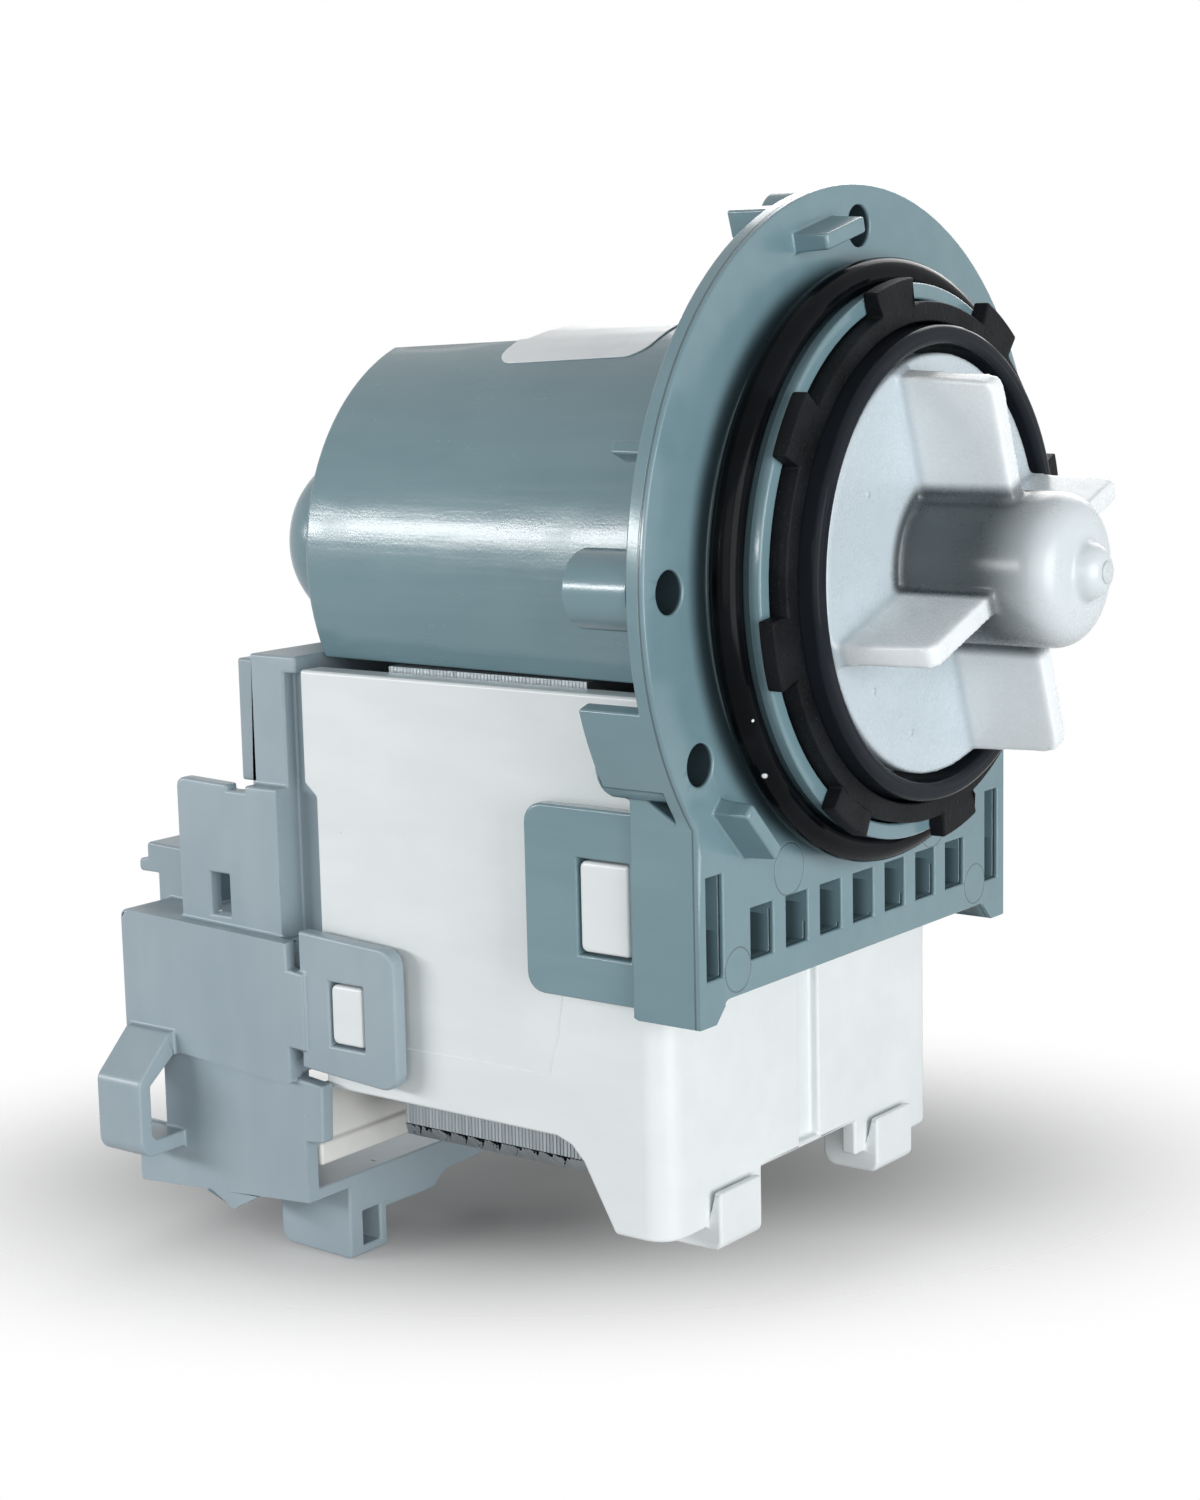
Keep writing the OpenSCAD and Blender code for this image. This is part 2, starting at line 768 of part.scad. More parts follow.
module cap_seal() {
    color("#1b1c1e") rotate([0, 90, 0]) translate([0, 0, cap_seal_x])
        rotate_extrude() translate([cap_seal_r, 0]) circle(r = cap_seal_s - press_gap, $fn = 32);
}

module shaft_seal() {
    lip_t = 0.8;
    color("#202124") turned([
        [seal_r, seal_x0 + press_gap],
        [seal_r, cap_nose],
        [seal_r - lip_t, cap_nose],
        [seal_r - lip_t, seal_x0 + 2 * lip_t],
        [bearing_bore + lip_t, seal_x0 + 2 * lip_t],
        [bearing_bore, seal_x0 + 3 * lip_t],
        [bearing_bore, seal_x0 + press_gap]
    ]);
}

// Impeller
module vane(a) {
    r_foot = disc_r - vane_inset;
    rotate([a, 0, 0]) translate([0, 0, -vane_t / 2]) linear_extrude(vane_t) polygon(rounded([
        [disc_front - eps, hub_in + 0.4, 0],
        [disc_front - eps, r_foot, 0],
        [disc_front + vane_h, r_foot - 0.8, 1],
        [disc_front + vane_h, hub_in + 0.4, 0]
    ]));
}

// The hollow of the hub, with the stop left standing in it
module hub_hollow() {
    difference() {
        ring(hub_in, disc_x - 1, tip_x0);
        rotate([180 - stop_angle / 2, 0, 0]) turned([
            [dog_r + run_gap + 0.1, dog_x0],
            [hub_in + 1, dog_x0],
            [hub_in + 1, tip_x0 + 1],
            [dog_r + run_gap + 0.1, tip_x0 + 1]
        ], stop_angle);
    }
}

module impeller() {
    color("#e8edee") difference() {
        union() {
            ring(disc_r, disc_x, disc_front);
            turned(concat(
                [[0, disc_front - eps], [hub_r, disc_front - eps]],
                arc([hub_r - hub_round, hub_front - hub_round], hub_round, 0, 90),
                [[nose_r, hub_front]],
                arc([nose_r - nose_h, hub_front], nose_h, 0, 90),
                [[0, hub_front + nose_h]]
            ));
            for (i = [0:vane_count - 1]) vane(vane_start + i * 360 / vane_count);
        }
        hub_hollow();
        ring(bearing_bore, disc_x, tip_x0 + tip_l);
    }
}

module impeller_bush() {
    color("#cfd4d6") ring(hub_in - press_gap, bush_x, bush_x + bush_t, dog_r + run_gap);
}

module drive_dog() {
    color("#9aa3a8") difference() {
        union() {
            ring(dog_r, dog_rear, dog_x1);
            rotate([-dog_angle / 2, 0, 0]) turned([
                [dog_r - 0.5, dog_x0 + 0.2],
                [dog_tip, dog_x0 + 0.2],
                [dog_tip, dog_x1],
                [dog_r - 0.5, dog_x1]
            ], dog_angle);
        }
        ring(dog_bore, dog_rear - 1, dog_x1 + 1);
    }
}

module dog_buffer() {
    gap_angle = 0.5;
    color("#232427") for (a = [dog_angle / 2 + gap_angle, -dog_angle / 2 - gap_angle - pad_angle])
        rotate([a, 0, 0]) turned([
            [dog_r + press_gap, dog_x0 + 0.2],
            [dog_tip, dog_x0 + 0.2],
            [dog_tip, dog_x1],
            [dog_r + press_gap, dog_x1]
        ], pad_angle);
}

// Rotor
module rotor_shaft() {
    tip = 0.4;
    color("#c9cdd0") turned([
        [0, shaft_rear],
        [shaft_r - tip, shaft_rear],
        [shaft_r, shaft_rear + tip],
        [shaft_r, shaft_front - tip],
        [shaft_r - tip, shaft_front],
        [0, shaft_front]
    ]);
}

module magnet_hub() {
    sleeve_r = shaft_r + 2;
    color("#d8d5cc") turned([
        [shaft_r + press_gap, rear_washer_x + washer_t + axial_gap],
        [sleeve_r, rear_washer_x + washer_t + axial_gap],
        [sleeve_r, magnet_x0 - 1],
        [carrier_r - press_gap, magnet_x0 - 1],
        [carrier_r - press_gap, magnet_x1 + 1],
        [sleeve_r, magnet_x1 + 1],
        [sleeve_r, front_washer_x - washer_t - axial_gap],
        [shaft_r + press_gap, front_washer_x - washer_t - axial_gap]
    ]);
}

module rotor_magnet() {
    color("#3a3c40") ring(magnet_r, magnet_x0, magnet_x1, carrier_r);
}

module front_washer() {
    color("#b9bcc0") ring(washer_r, front_washer_x - washer_t, front_washer_x, shaft_r + press_gap);
}

module rear_washer() {
    color("#b9bcc0") ring(washer_r, rear_washer_x, rear_washer_x + washer_t, shaft_r + press_gap);
}

module front_bearing() {
    color("#55585c") ring(bearing_r - press_gap, front_bearing_rear, front_bearing_x, bearing_bore);
}

module rear_bearing() {
    color("#55585c") ring(bearing_r - press_gap, rear_bearing_rear, rear_bearing_front, bearing_bore);
}

module front_grommet() {
    color("#2a2c2f") ring(grommet_out, front_bearing_rear, front_bearing_x, bearing_r);
}

module rear_grommet() {
    color("#2a2c2f") ring(grommet_out, rear_bearing_rear, rear_bearing_front, bearing_r);
}

// Stator
module pole_left() {
    color("#9aa0a3") along_x(core_rear, core_front) difference() {
        union() {
            intersection() {
                circle(r = pole_r);
                polygon([
                    [0, 0],
                    2 * pole_r * [-cos(pole_angle), sin(pole_angle)],
                    [-2 * pole_r, 2 * pole_r],
                    [-2 * pole_r, -shoulder_z - 1],
                    [0, -shoulder_z - 1]
                ]);
            }
            polygon([
                [-limb_y, -shoulder_z],
                [-shoulder_y, -shoulder_z],
                [-shoulder_y, shoulder_low],
                [-limb_out, shoulder_low],
                [-limb_out, yoke_top],
                [-limb_y, yoke_top]
            ]);
        }
        circle(r = pole_bore);
        translate([-limb_y + eps, -2 * pole_r]) square([pole_r, 2 * pole_r]);
    }
}

module stator_pole_left() { pole_left(); }

module stator_pole_right() { mirror([0, 1, 0]) pole_left(); }

module core_yoke() {
    y = limb_out + yoke_over;
    c = yoke_chamfer;
    color("#8f979b") along_x(core_rear, core_front) polygon([
        [-y, yoke_top],
        [-y, yoke_low + c],
        [-y + c / 2, yoke_low],
        [y - c / 2, yoke_low],
        [y, yoke_low + c],
        [y, yoke_top]
    ]);
}

module former_left() {
    color("#e9e7dd") difference() {
        union() {
            block(plate_x0, plate_x1, -plate_y1, -plate_y0, former_top - former_plate, former_top);
            block(plate_x0, plate_x1, -plate_y1, -plate_y0, former_bottom, former_bottom + former_plate);
            block(form_x0, form_x1, -form_y1, -form_y0, former_bottom, former_top);
        }
        block(core_rear - former_gap, core_front + former_gap, -limb_out - former_gap,
            -limb_y + former_gap, former_bottom - 1, former_top + 1);
    }
}

module bobbin_left() { former_left(); }

module bobbin_right() { mirror([0, 1, 0]) former_left(); }

// A rectangular sleeve round the left former, from one offset to another
module sleeve_left(x_in, x_out, y_in, y_out, r_in, r_out, z0, z1) {
    difference() {
        along_z_box(x_out, y_out, z0, z1, r_out);
        along_z_box(x_in, y_in, z0 - 1, z1 + 1, r_in);
    }
}

module along_z_box(dx, dy, z0, z1, r) {
    translate([0, 0, z0]) linear_extrude(z1 - z0)
        polygon(rounded(box2(form_x0 - dx, form_x1 + dx, -form_y1 - dy, -form_y0 + dy, r)));
}

module coil_left() {
    z0 = former_bottom + former_plate + press_gap;
    z1 = former_top - former_plate - press_gap;
    color("#b0652f") sleeve_left(press_gap, wind_x, press_gap, wind_y, 0, wind_round, z0, z1);
}

module winding_left() { coil_left(); }

module winding_right() { mirror([0, 1, 0]) coil_left(); }

module winding_tape() {
    z0 = former_bottom + former_plate + 2;
    z1 = former_top - former_plate - 2;
    x_in = wind_x + press_gap;
    y_in = wind_y + press_gap;
    color("#d9b64a") both_sides() sleeve_left(x_in, x_in + tape_t, y_in, y_in + tape_t,
        wind_round, wind_round + tape_t, z0, z1);
}

module thermal_cutout() {
    x_mid = (core_rear + core_front) / 2;
    color("#4b4f54") rod_x(cutout_r, x_mid - cutout_l / 2, x_mid + cutout_l / 2, 0, cutout_z);
}

module coil_leads() {
    x_mid = (core_rear + core_front) / 2;
    color("#f0f0ec") {
        rod_x(lead_r, block_x1 + 0.1, x_mid - cutout_l / 2 - 0.1, 0, cutout_z);
        rod_x(lead_r, block_x1 + 0.1, x_mid, 0, spade_z);
    }
}

// Coil cover
function cover_plan(inset) = rounded([
    [cover_rear - 1, -cover_y + inset, 0],
    [cover_front - inset, -cover_y + inset, cover_corner - inset],
    [cover_front - inset, cover_y - inset, cover_corner - inset],
    [cover_rear - 1, cover_y - inset, 0]
]);

function cover_side() = [
    [cover_rear, cover_top],
    [cover_rear, step_z],
    [cover_rear_low, step_z - 1.5],
    [cover_rear_low, -cover_side_z],
    [cover_front - 15.2, -cover_side_z - 0.2],
    [cover_front - 13.2, -cover_side_z - 0.9],
    [cover_front - 11.5, -cover_side_z - 2.6],
    [cover_front - 10.5, -cover_side_z - 4.4],
    [cover_front - 7.3, -cover_leg_z],
    [cover_front + 1, -cover_leg_z],
    [cover_front + 1, cover_top]
];

module hook() {
    x = cover_front + hook_out;
    lip_top = -hook_z + hook_h;
    along_y(-hook_y - hook_w, -hook_y) polygon(rounded([
        [x, lip_top, 0.3],
        [x, -hook_z, 1.2],
        [cover_front - 6.1, -hook_z, 1.6],
        [cover_front - 6.1, -cover_mid_z, 0],
        [cover_front - 0.5, -cover_mid_z, 0],
        [cover_front - 0.5, lip_top - 2.3, 0],
        [cover_front + 0.1, lip_top - 2.3, 0],
        [x - 0.9, lip_top, 0.2]
    ]));
}

module lug(x0, x1, z0, z1, y_out) {
    along_y(-y_out, -cover_y + eps) polygon(rounded([
        [x0, z0, 0.8],
        [x1, z0, 0],
        [x1, z1, 0],
        [x0, z1, 0.8]
    ]));
}

module cover_shell() {
    top_w = 1.6;
    intersection() {
        difference() {
            translate([0, 0, -cover_leg_z]) linear_extrude(cover_leg_z + cover_top)
                polygon(cover_plan(0));
            translate([0, 0, -cover_leg_z - 1]) linear_extrude(cover_leg_z + cover_top - cover_wall + 1)
                polygon(cover_plan(cover_wall));
            block(cover_rear - 2, cover_front - cover_wall, -cover_y + cover_wall + top_w,
                cover_y - cover_wall - top_w, cover_top - cover_wall - 1, cover_top + 1);
            block(cover_front - 9, cover_front + 1, -leg_gap, leg_gap, -hook_z, -cover_mid_z);
            block(cover_front - groove_d, cover_front + 1, -groove_w, groove_w,
                -cover_mid_z + 0.7, cover_top - 3);
            ring(tube_out + near_gap, cover_front - cover_corner, cover_front + 1);
        }
        along_y(-cover_y, cover_y) polygon(cover_side());
    }
}

module coil_cover() {
    color("#dfe5e6") union() {
        cover_shell();
        both_sides() hook();
        both_sides() lug(win_x0 + lug_gap, win_x1 - lug_gap, win_z0 + lug_gap,
            win_z0 + clip_win_h - lug_gap, clip_y - 0.2);
        both_sides() lug(rear_win_x0 + lug_gap, rear_win_x0 + rear_win_l - lug_gap,
            rear_win_z1 - rear_win_h + lug_gap, rear_win_z1 - lug_gap, clip_y - 0.2);
    }
}

// Terminal block and blades
module terminal_block() {
    lip_out = 0.5;
    y_end = low_y - rear_t - near_gap;
    top_z = -cover_side_z - near_gap;
    color("#e4e4de") difference() {
        union() {
            block(block_x0, block_x1, -block_y, block_y, block_low, spade_z + 6);
            block(block_x0, block_x1, -2 * cutout_r, 2 * cutout_r, block_low, cutout_z + 1.5 * cutout_r);
            block(block_x0, block_x1, -y_end, block_y, block_low, top_z);
            block(block_x0, block_x1 + lip_out, -y_end, block_y, block_low, block_low + lip_h);
        }
        for (s = [-1, 1]) spade_slot(spade_y + s * spade_pitch / 2, press_gap);
    }
}

// The opening for one blade, wider than the blade by gap on each side
module spade_slot(y, gap) {
    block(block_x0 - 8, block_x1 + 1, y - spade_w / 2 - gap, y + spade_w / 2 + gap,
        spade_z - spade_t / 2 - gap, spade_z + spade_t / 2 + gap);
}

module spade_terminals() {
    x0 = rear_back - spade_l;
    tip = 1.2;
    color("#c8b46a") for (s = [-1, 1]) translate([0, spade_y + s * spade_pitch / 2, spade_z - spade_t / 2])
        linear_extrude(spade_t) polygon([
            [block_x1, -spade_w / 2],
            [block_x1, spade_w / 2],
            [x0 + tip, spade_w / 2],
            [x0, spade_w / 2 - tip],
            [x0, -spade_w / 2 + tip],
            [x0 + tip, -spade_w / 2]
        ]);
}

// Terminal bracket
module rear_wall() {
    block(rear_back, rear_front, -rear_in, rear_in, socket_low, -rear_top_z - 1);
    block(column_back, rear_front, -column_y, column_y, -rear_top_z - rear_t, -rear_top_z);
    block(column_back, rear_back + eps, -column_y, -column_y + 6, column_low, -rear_top_z);
    block(column_back, rear_back + eps, column_y - 6, column_y, column_low, -rear_top_z);
    block(column_back - 4, column_back + eps, -column_y + 2, -column_y + 4, step_z - 1, -rear_top_z - 1);
    both_sides() block(rear_front - eps, cover_rear_low + 1.2, -rear_in, -rear_in + 1.4,
        socket_low, cover_top - cover_wall - near_gap);
}

module stepped_plate() {
    x0 = column_back - 11.3;
    along_y(-step_y, -step_y + rear_t) difference() {
        polygon(rounded([
            [x0, -socket_top_z - 1, 0],
            [x0, step_z - 0.6, 1.2],
            [x0 + 8.5, step_z - 0.9, 0],
            [x0 + 8.5, step_z - 1.6, 0],
            [x0 + 11.5, step_z - 1.6, 0],
            [x0 + 11.5, step_z - 0.8, 0],
            [rear_back, step_z - 0.8, 0],
            [rear_back, -socket_top_z - 1, 0]
        ]));
        translate([x0 + 5.1, -socket_top_z + 0.6]) square([3.2, 5.1]);
    }
    block(rear_back - 3, rear_back + eps, -step_y, -rear_in + 1, -socket_top_z - 1, step_z - 0.8);
}

module socket_shell() {
    t = rear_t;
    difference() {
        along_y(-box_y, socket_in) polygon(rounded([
            [box_rear, -socket_top_z, 1],
            [rear_back + eps, -socket_top_z - 0.9, 0],
            [rear_back + eps, socket_low - 1.6, 0],
            [box_rear, socket_low, 1]
        ]));
        block(box_rear - 1, rear_back, -box_y + t, socket_in - t, socket_low + t, -socket_top_z - t - 0.9);
    }
    along_y(-box_y, -box_y + t) polygon([
        [rear_back - 1, -socket_top_z - 0.9],
        [rear_front + 0.3, -socket_top_z - 1],
        [rear_front + 0.3, -socket_top_z - 4.2],
        [box_front, -socket_top_z - 4.4],
        [box_front, socket_low + 2.6],
        [rear_front + 0.3, socket_low + 2.8],
        [rear_front + 0.3, socket_low - 1.7],
        [rear_back - 1, socket_low - 1.6]
    ]);
    block(rear_back, rear_front, -box_y + eps, -rear_in + eps, socket_low - 1, -socket_top_z - 1.2);
}

module rear_clip() {
    along_y(-clip_y, -clip_y + clip_t) difference() {
        polygon(rounded([
            [box_front - 1, rear_clip_top - rear_clip_h + 1, 0],
            [rear_clip_front, rear_clip_top - rear_clip_h, clip_round],
            [rear_clip_front, rear_clip_top - 0.8, clip_round],
            [box_front - 1, rear_clip_top, 0]
        ]));
        translate([rear_win_x0, rear_win_z1 - rear_win_h]) square([rear_win_l, rear_win_h]);
    }
}

module far_clip_arm() {
    block(rear_back, rear_front, rear_in - eps, clip_y, socket_low, -socket_top_z - 1.2);
    block(rear_front - eps, box_front, clip_y - clip_t, clip_y, socket_low, -socket_top_z - 1.2);
}

module key_tab() {
    x1 = box_rear + 8;
    along_y(-column_y + 4, -column_y + 10) polygon(rounded([
        [x1, -socket_top_z - 1, 0],
        [box_rear - 1.4, -socket_top_z - 1, 0],
        [box_rear - 1.4, -socket_top_z + 2.8, 0],
        [box_rear - 4.7, -socket_top_z + 2.8, 0.5],
        [box_rear - 4.7, -socket_top_z + 4.4, 0.5],
        [box_rear - 3.2, -socket_top_z + 4.6, 0],
        [box_rear - 3.2, -socket_top_z + 6.7, 0.6],
        [x1, -socket_top_z + 6.3, 0]
    ]));
}

module lower_box() {
    t = rear_t;
    notch = 5.3;
    along_y(-low_y, -low_y + t) polygon(rounded([
        [box_rear + 0.3, socket_low - 11, 0],
        [box_rear + notch, socket_low - 11, 0],
        [box_rear + notch, socket_low + 1, 0],
        [floor_front + 2.8, socket_low - 1.6, 0],
        [floor_front + 2.6, floor_low + 7.8, 0],
        [floor_front, floor_low + 7.4, 0],
        [floor_front, floor_low, 0.3],
        [box_rear + 0.3, -floor_z, 1]
    ]));
    along_y(-low_y, -low_y + 1.6) polygon([
        [floor_front - 17, -floor_z + 1],
        [floor_front - 13, -floor_z - 1],
        [floor_front - 8.6, -floor_z + 1.4]
    ]);
    along_y(-low_y + eps, 0) polygon([
        [box_rear + 0.6, -floor_z + floor_t],
        [box_rear + 0.6, -floor_z],
        [floor_front, floor_low],
        [floor_front, floor_low + floor_t]
    ]);
    along_y(-low_y + eps, socket_in - t) polygon([
        [box_rear + notch, socket_low + 0.5],
        [box_rear + notch, -floor_z + floor_t / 2],
        [box_rear + notch + t, -floor_z + floor_t],
        [box_rear + notch + t, socket_low + 0.5]
    ]);
}

// The loop that holds the lead's wires, as a (y, z) outline
module wire_loop() {
    o = -low_y;
    y_out = -low_y - loop_out;
    top = socket_low + 2;
    low = socket_low - loop_drop;
    t = loop_t;
    along_x(box_rear + 1.2, box_rear + 1.2 + loop_w) polygon(rounded([
        [o + 0.5, top, 0],
        [o - 2, top, 1],
        [y_out, top - 5.2, 1.5],
        [y_out, low, 2],
        [o + 0.5, low, 0],
        [o + 0.5, low + t, 0],
        [y_out + t, low + t, 1],
        [y_out + t, top - 6, 0.5],
        [o - 1, top - t - 0.8, 0.5],
        [o + 0.5, top - t - 0.8, 0]
    ]));
}

module rear_foot() {
    win = 3;
    win_in = 2.4;
    difference() {
        union() {
            along_y(foot_y0, foot_y0 + foot_w) polygon(rounded([
                [foot_x0, floor_low - 0.4, 0],
                [foot_x0, -foot_z + 0.3, 1.8],
                [floor_front, -foot_z, 0.5],
                [floor_front, floor_low + 0.4, 0]
            ]));
            arm();
        }
        block(floor_front - 5, floor_front + 1, foot_y0 + win_in, foot_y0 + win_in + win,
            -foot_z + 1.2, -foot_z + 5.5);
    }
}

// The rib that reaches under the core, as a (y, z) outline from the foot to its far end
module arm() {
    top = floor_low + floor_t - 0.1;
    y0 = foot_y0 + foot_w - eps;
    notch_y = y0 + foot_in;
    notch_d = 1.3;
    along_x(floor_front - 2.4, floor_front) polygon([
        [y0, top],
        [y0, top - 5.6],
        [y0 + 9, top - 5.7],
        [y0 + 10.6, top - 4.4],
        [y0 + 12, top - 3.9],
        [arm_end, top - 3.6],
        [arm_end, top - 0.2],
        [notch_y + 2.2, top - 0.2],
        [notch_y + 0.2, top - 0.6],
        [notch_y, top - notch_d],
        [notch_y - rear_t, top - notch_d],
        [notch_y - rear_t - 0.2, top]
    ]);
}

module terminal_bracket() {
    color("#99a6ae") difference() {
        union() {
            rear_wall();
            stepped_plate();
            socket_shell();
            rear_clip();
            mirror([0, 1, 0]) rear_clip();
            far_clip_arm();
            key_tab();
            lower_box();
            wire_loop();
            rear_foot();
        }
        ring(dome_foot + 2 * near_gap, column_back - 6, rear_front + 1);
        for (s = [-1, 1]) spade_slot(spade_y + s * spade_pitch / 2, 0.15);
    }
}

// Label
module rating_label() {
    r_at = [for (x = [-label_x + 2, -label_x - label_l - 2]) can_r_front + can_slope * (x + flange_t)];
    x_at = [-label_x + 2, -label_x - label_l - 2];
    color("#e3e7ea") difference() {
        intersection() {
            turned([
                [r_at[0] + press_gap, x_at[0]],
                [r_at[0] + press_gap + label_t, x_at[0]],
                [r_at[1] + press_gap + label_t, x_at[1]],
                [r_at[1] + press_gap, x_at[1]]
            ]);
            linear_extrude(flange_r) polygon(rounded([
                [-label_x - label_l + 0.8, -label_half_w, 1.2],
                [-label_x, -label_half_w, 3],
                [-label_x, label_half_w, 3],
                [-label_x - label_l + 0.8, label_half_w, 1.2],
                [-label_x - label_l, 0, 0]
            ]));
        }
        can_top_flat();
    }
}

motor_housing();
o_ring();
lock_ring();
lip_ring();
front_cap();
cap_seal();
shaft_seal();
impeller();
impeller_bush();
drive_dog();
dog_buffer();
rotor_shaft();
magnet_hub();
rotor_magnet();
front_washer();
rear_washer();
front_bearing();
rear_bearing();
front_grommet();
rear_grommet();
stator_pole_left();
stator_pole_right();
core_yoke();
bobbin_left();
bobbin_right();
winding_left();
winding_right();
winding_tape();
thermal_cutout();
coil_leads();
coil_cover();
terminal_block();
spade_terminals();
terminal_bracket();
rating_label();
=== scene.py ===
import json
import math

import bpy
from mathutils import Matrix, Vector
from mathutils.bvhtree import BVHTree
from mathutils.kdtree import KDTree


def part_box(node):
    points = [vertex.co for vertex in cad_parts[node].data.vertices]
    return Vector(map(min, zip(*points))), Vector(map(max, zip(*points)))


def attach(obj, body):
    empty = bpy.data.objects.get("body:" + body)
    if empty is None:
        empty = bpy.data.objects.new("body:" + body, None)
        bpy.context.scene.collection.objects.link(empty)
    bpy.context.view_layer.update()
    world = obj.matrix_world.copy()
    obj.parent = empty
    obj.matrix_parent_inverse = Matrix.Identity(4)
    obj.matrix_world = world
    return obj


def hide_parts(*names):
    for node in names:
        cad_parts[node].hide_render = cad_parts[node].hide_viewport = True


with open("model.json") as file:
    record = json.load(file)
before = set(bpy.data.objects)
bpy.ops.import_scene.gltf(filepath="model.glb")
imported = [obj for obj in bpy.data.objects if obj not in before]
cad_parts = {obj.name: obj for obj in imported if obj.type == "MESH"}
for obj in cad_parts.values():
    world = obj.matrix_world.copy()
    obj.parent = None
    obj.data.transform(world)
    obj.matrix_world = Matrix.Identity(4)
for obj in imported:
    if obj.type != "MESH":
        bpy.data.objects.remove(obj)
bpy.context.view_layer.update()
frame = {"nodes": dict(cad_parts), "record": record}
nodes = frame["nodes"]
mm = 0.001
print("frame loaded with", len(nodes), "nodes")

cameraView = {
    "place": (157.02, -254.85, 27.92),  # mm from the flange's middle
    "azimuth": 37.283,
    "elevation": 9.231,
    "roll": -1.298,
    "focal": 2695.9,  # pixels of an image 1500 high
    "imageHeight": 1500,
}


def addCamera(v):
    around, above, roll = (math.radians(v[k]) for k in ("azimuth", "elevation", "roll"))
    back = Vector((
        math.sin(around) * math.cos(above),
        -math.cos(around) * math.cos(above),
        math.sin(above),
    ))
    right = Vector((math.cos(around), math.sin(around), 0))
    up = back.cross(right)
    columns = (
        math.cos(roll) * right + math.sin(roll) * up,
        math.cos(roll) * up - math.sin(roll) * right,
        back,
    )
    data = bpy.data.cameras.new("photoCamera")
    data.sensor_width = 36
    data.lens = v["focal"] / v["imageHeight"] * 36
    data.clip_start, data.clip_end = 0.01, 20
    camera = bpy.data.objects.new("photoCamera", data)
    bpy.context.scene.collection.objects.link(camera)
    turn = Matrix(columns).transposed().to_4x4()
    camera.matrix_world = Matrix.Translation(Vector(v["place"]) * mm) @ turn
    bpy.context.scene.camera = camera


addCamera(cameraView)
print("camera placed")


# Materials. A Wire is a socket's value, so that sums read as plain expressions.
class Wire:
    def __init__(self, finish, socket):
        self.finish = finish
        self.socket = socket

    def maths(self, operation, *others):
        values = dict(enumerate((self,) + others))
        return self.finish.node("ShaderNodeMath", {"operation": operation}, values)

    def __add__(self, other):
        return self.maths("ADD", other)

    def __sub__(self, other):
        return self.maths("SUBTRACT", other)

    def __mul__(self, other):
        return self.maths("MULTIPLY", other)

    def __truediv__(self, other):
        return self.maths("DIVIDE", other)

    def __rsub__(self, other):
        return self.maths("MULTIPLY_ADD", -1, other)

    def __lt__(self, other):
        return self.maths("LESS_THAN", other)

    def __gt__(self, other):
        return self.maths("GREATER_THAN", other)

    def __abs__(self):
        return self.maths("ABSOLUTE")

    __radd__ = __add__
    __rmul__ = __mul__


class Finish:
    def __init__(self, name, world=None):
        self.material = world or bpy.data.materials.new(name)
        self.material.use_nodes = True
        self.tree = self.material.node_tree
        self.tree.nodes.clear()

    def node(self, kind, settings=None, values=None, output=0):
        made = self.tree.nodes.new(kind)
        for key, value in (settings or {}).items():
            setattr(made, key, value)
        for key, value in (values or {}).items():
            if isinstance(value, Wire):
                self.tree.links.new(value.socket, made.inputs[key])
            else:
                made.inputs[key].default_value = value
        return Wire(self, made.outputs[output]) if len(made.outputs) else None

    def place(self):  # the row frame, in mm
        spot = self.node("ShaderNodeTexCoord", output="Object")
        return self.node("ShaderNodeVectorMath", {"operation": "SCALE"}, {0: spot, "Scale": 1000})

    def split(self, place):
        first = self.node("ShaderNodeSeparateXYZ", None, {0: place})
        return [Wire(self, out) for out in first.socket.node.outputs]

    def stretch(self, place, run):
        return self.node("ShaderNodeMapping", None, {"Vector": place, "Scale": run})

    def noise(self, place, size, detail=2.0, roughness=0.5):
        values = {"Vector": place, "Scale": 1 / size, "Detail": detail, "Roughness": roughness}
        return self.node("ShaderNodeTexNoise", None, values)

    def spread(self, value, low, high, toLow=0.0, toHigh=1.0):
        values = {0: value, 1: low, 2: high, 3: toLow, 4: toHigh}
        return self.node("ShaderNodeMapRange", {"interpolation_type": "SMOOTHSTEP"}, values)

    def mix(self, share, first, second):
        values = {0: share, 6: first, 7: second}
        return self.node("ShaderNodeMix", {"data_type": "RGBA"}, values, 2)

    def line(self, value, middle, half):  # 1 on a thin line where value is middle
        return 1 - self.spread(abs(value - middle), half * 0.4, half)

    def away(self, place, spot):
        settings = {"operation": "DISTANCE"}
        return self.node("ShaderNodeVectorMath", settings, {0: place, 1: spot}, 1)

    def specks(self, place, gap, size, share):
        cell = self.node("ShaderNodeTexVoronoi", None, {"Vector": place, "Scale": 1 / gap})
        tint = Wire(self, cell.socket.node.outputs["Color"])
        chosen = self.split(tint)[0] < share
        return (1 - self.spread(cell, size * 0.6 / gap, size / gap)) * chosen

    def close(self, colour, rough, height, fixed):
        bump = self.node("ShaderNodeBump", None, {"Strength": 1, "Distance": mm, "Height": height})
        values = {"Base Color": colour, "Roughness": rough, "Normal": bump}
        values.update(fixed)
        shader = self.node("ShaderNodeBsdfPrincipled", None, values)
        self.node("ShaderNodeOutputMaterial", None, {"Surface": shader})
        return self.material


def radiusAt(y, z):
    return (y * y + z * z).maths("SQRT")


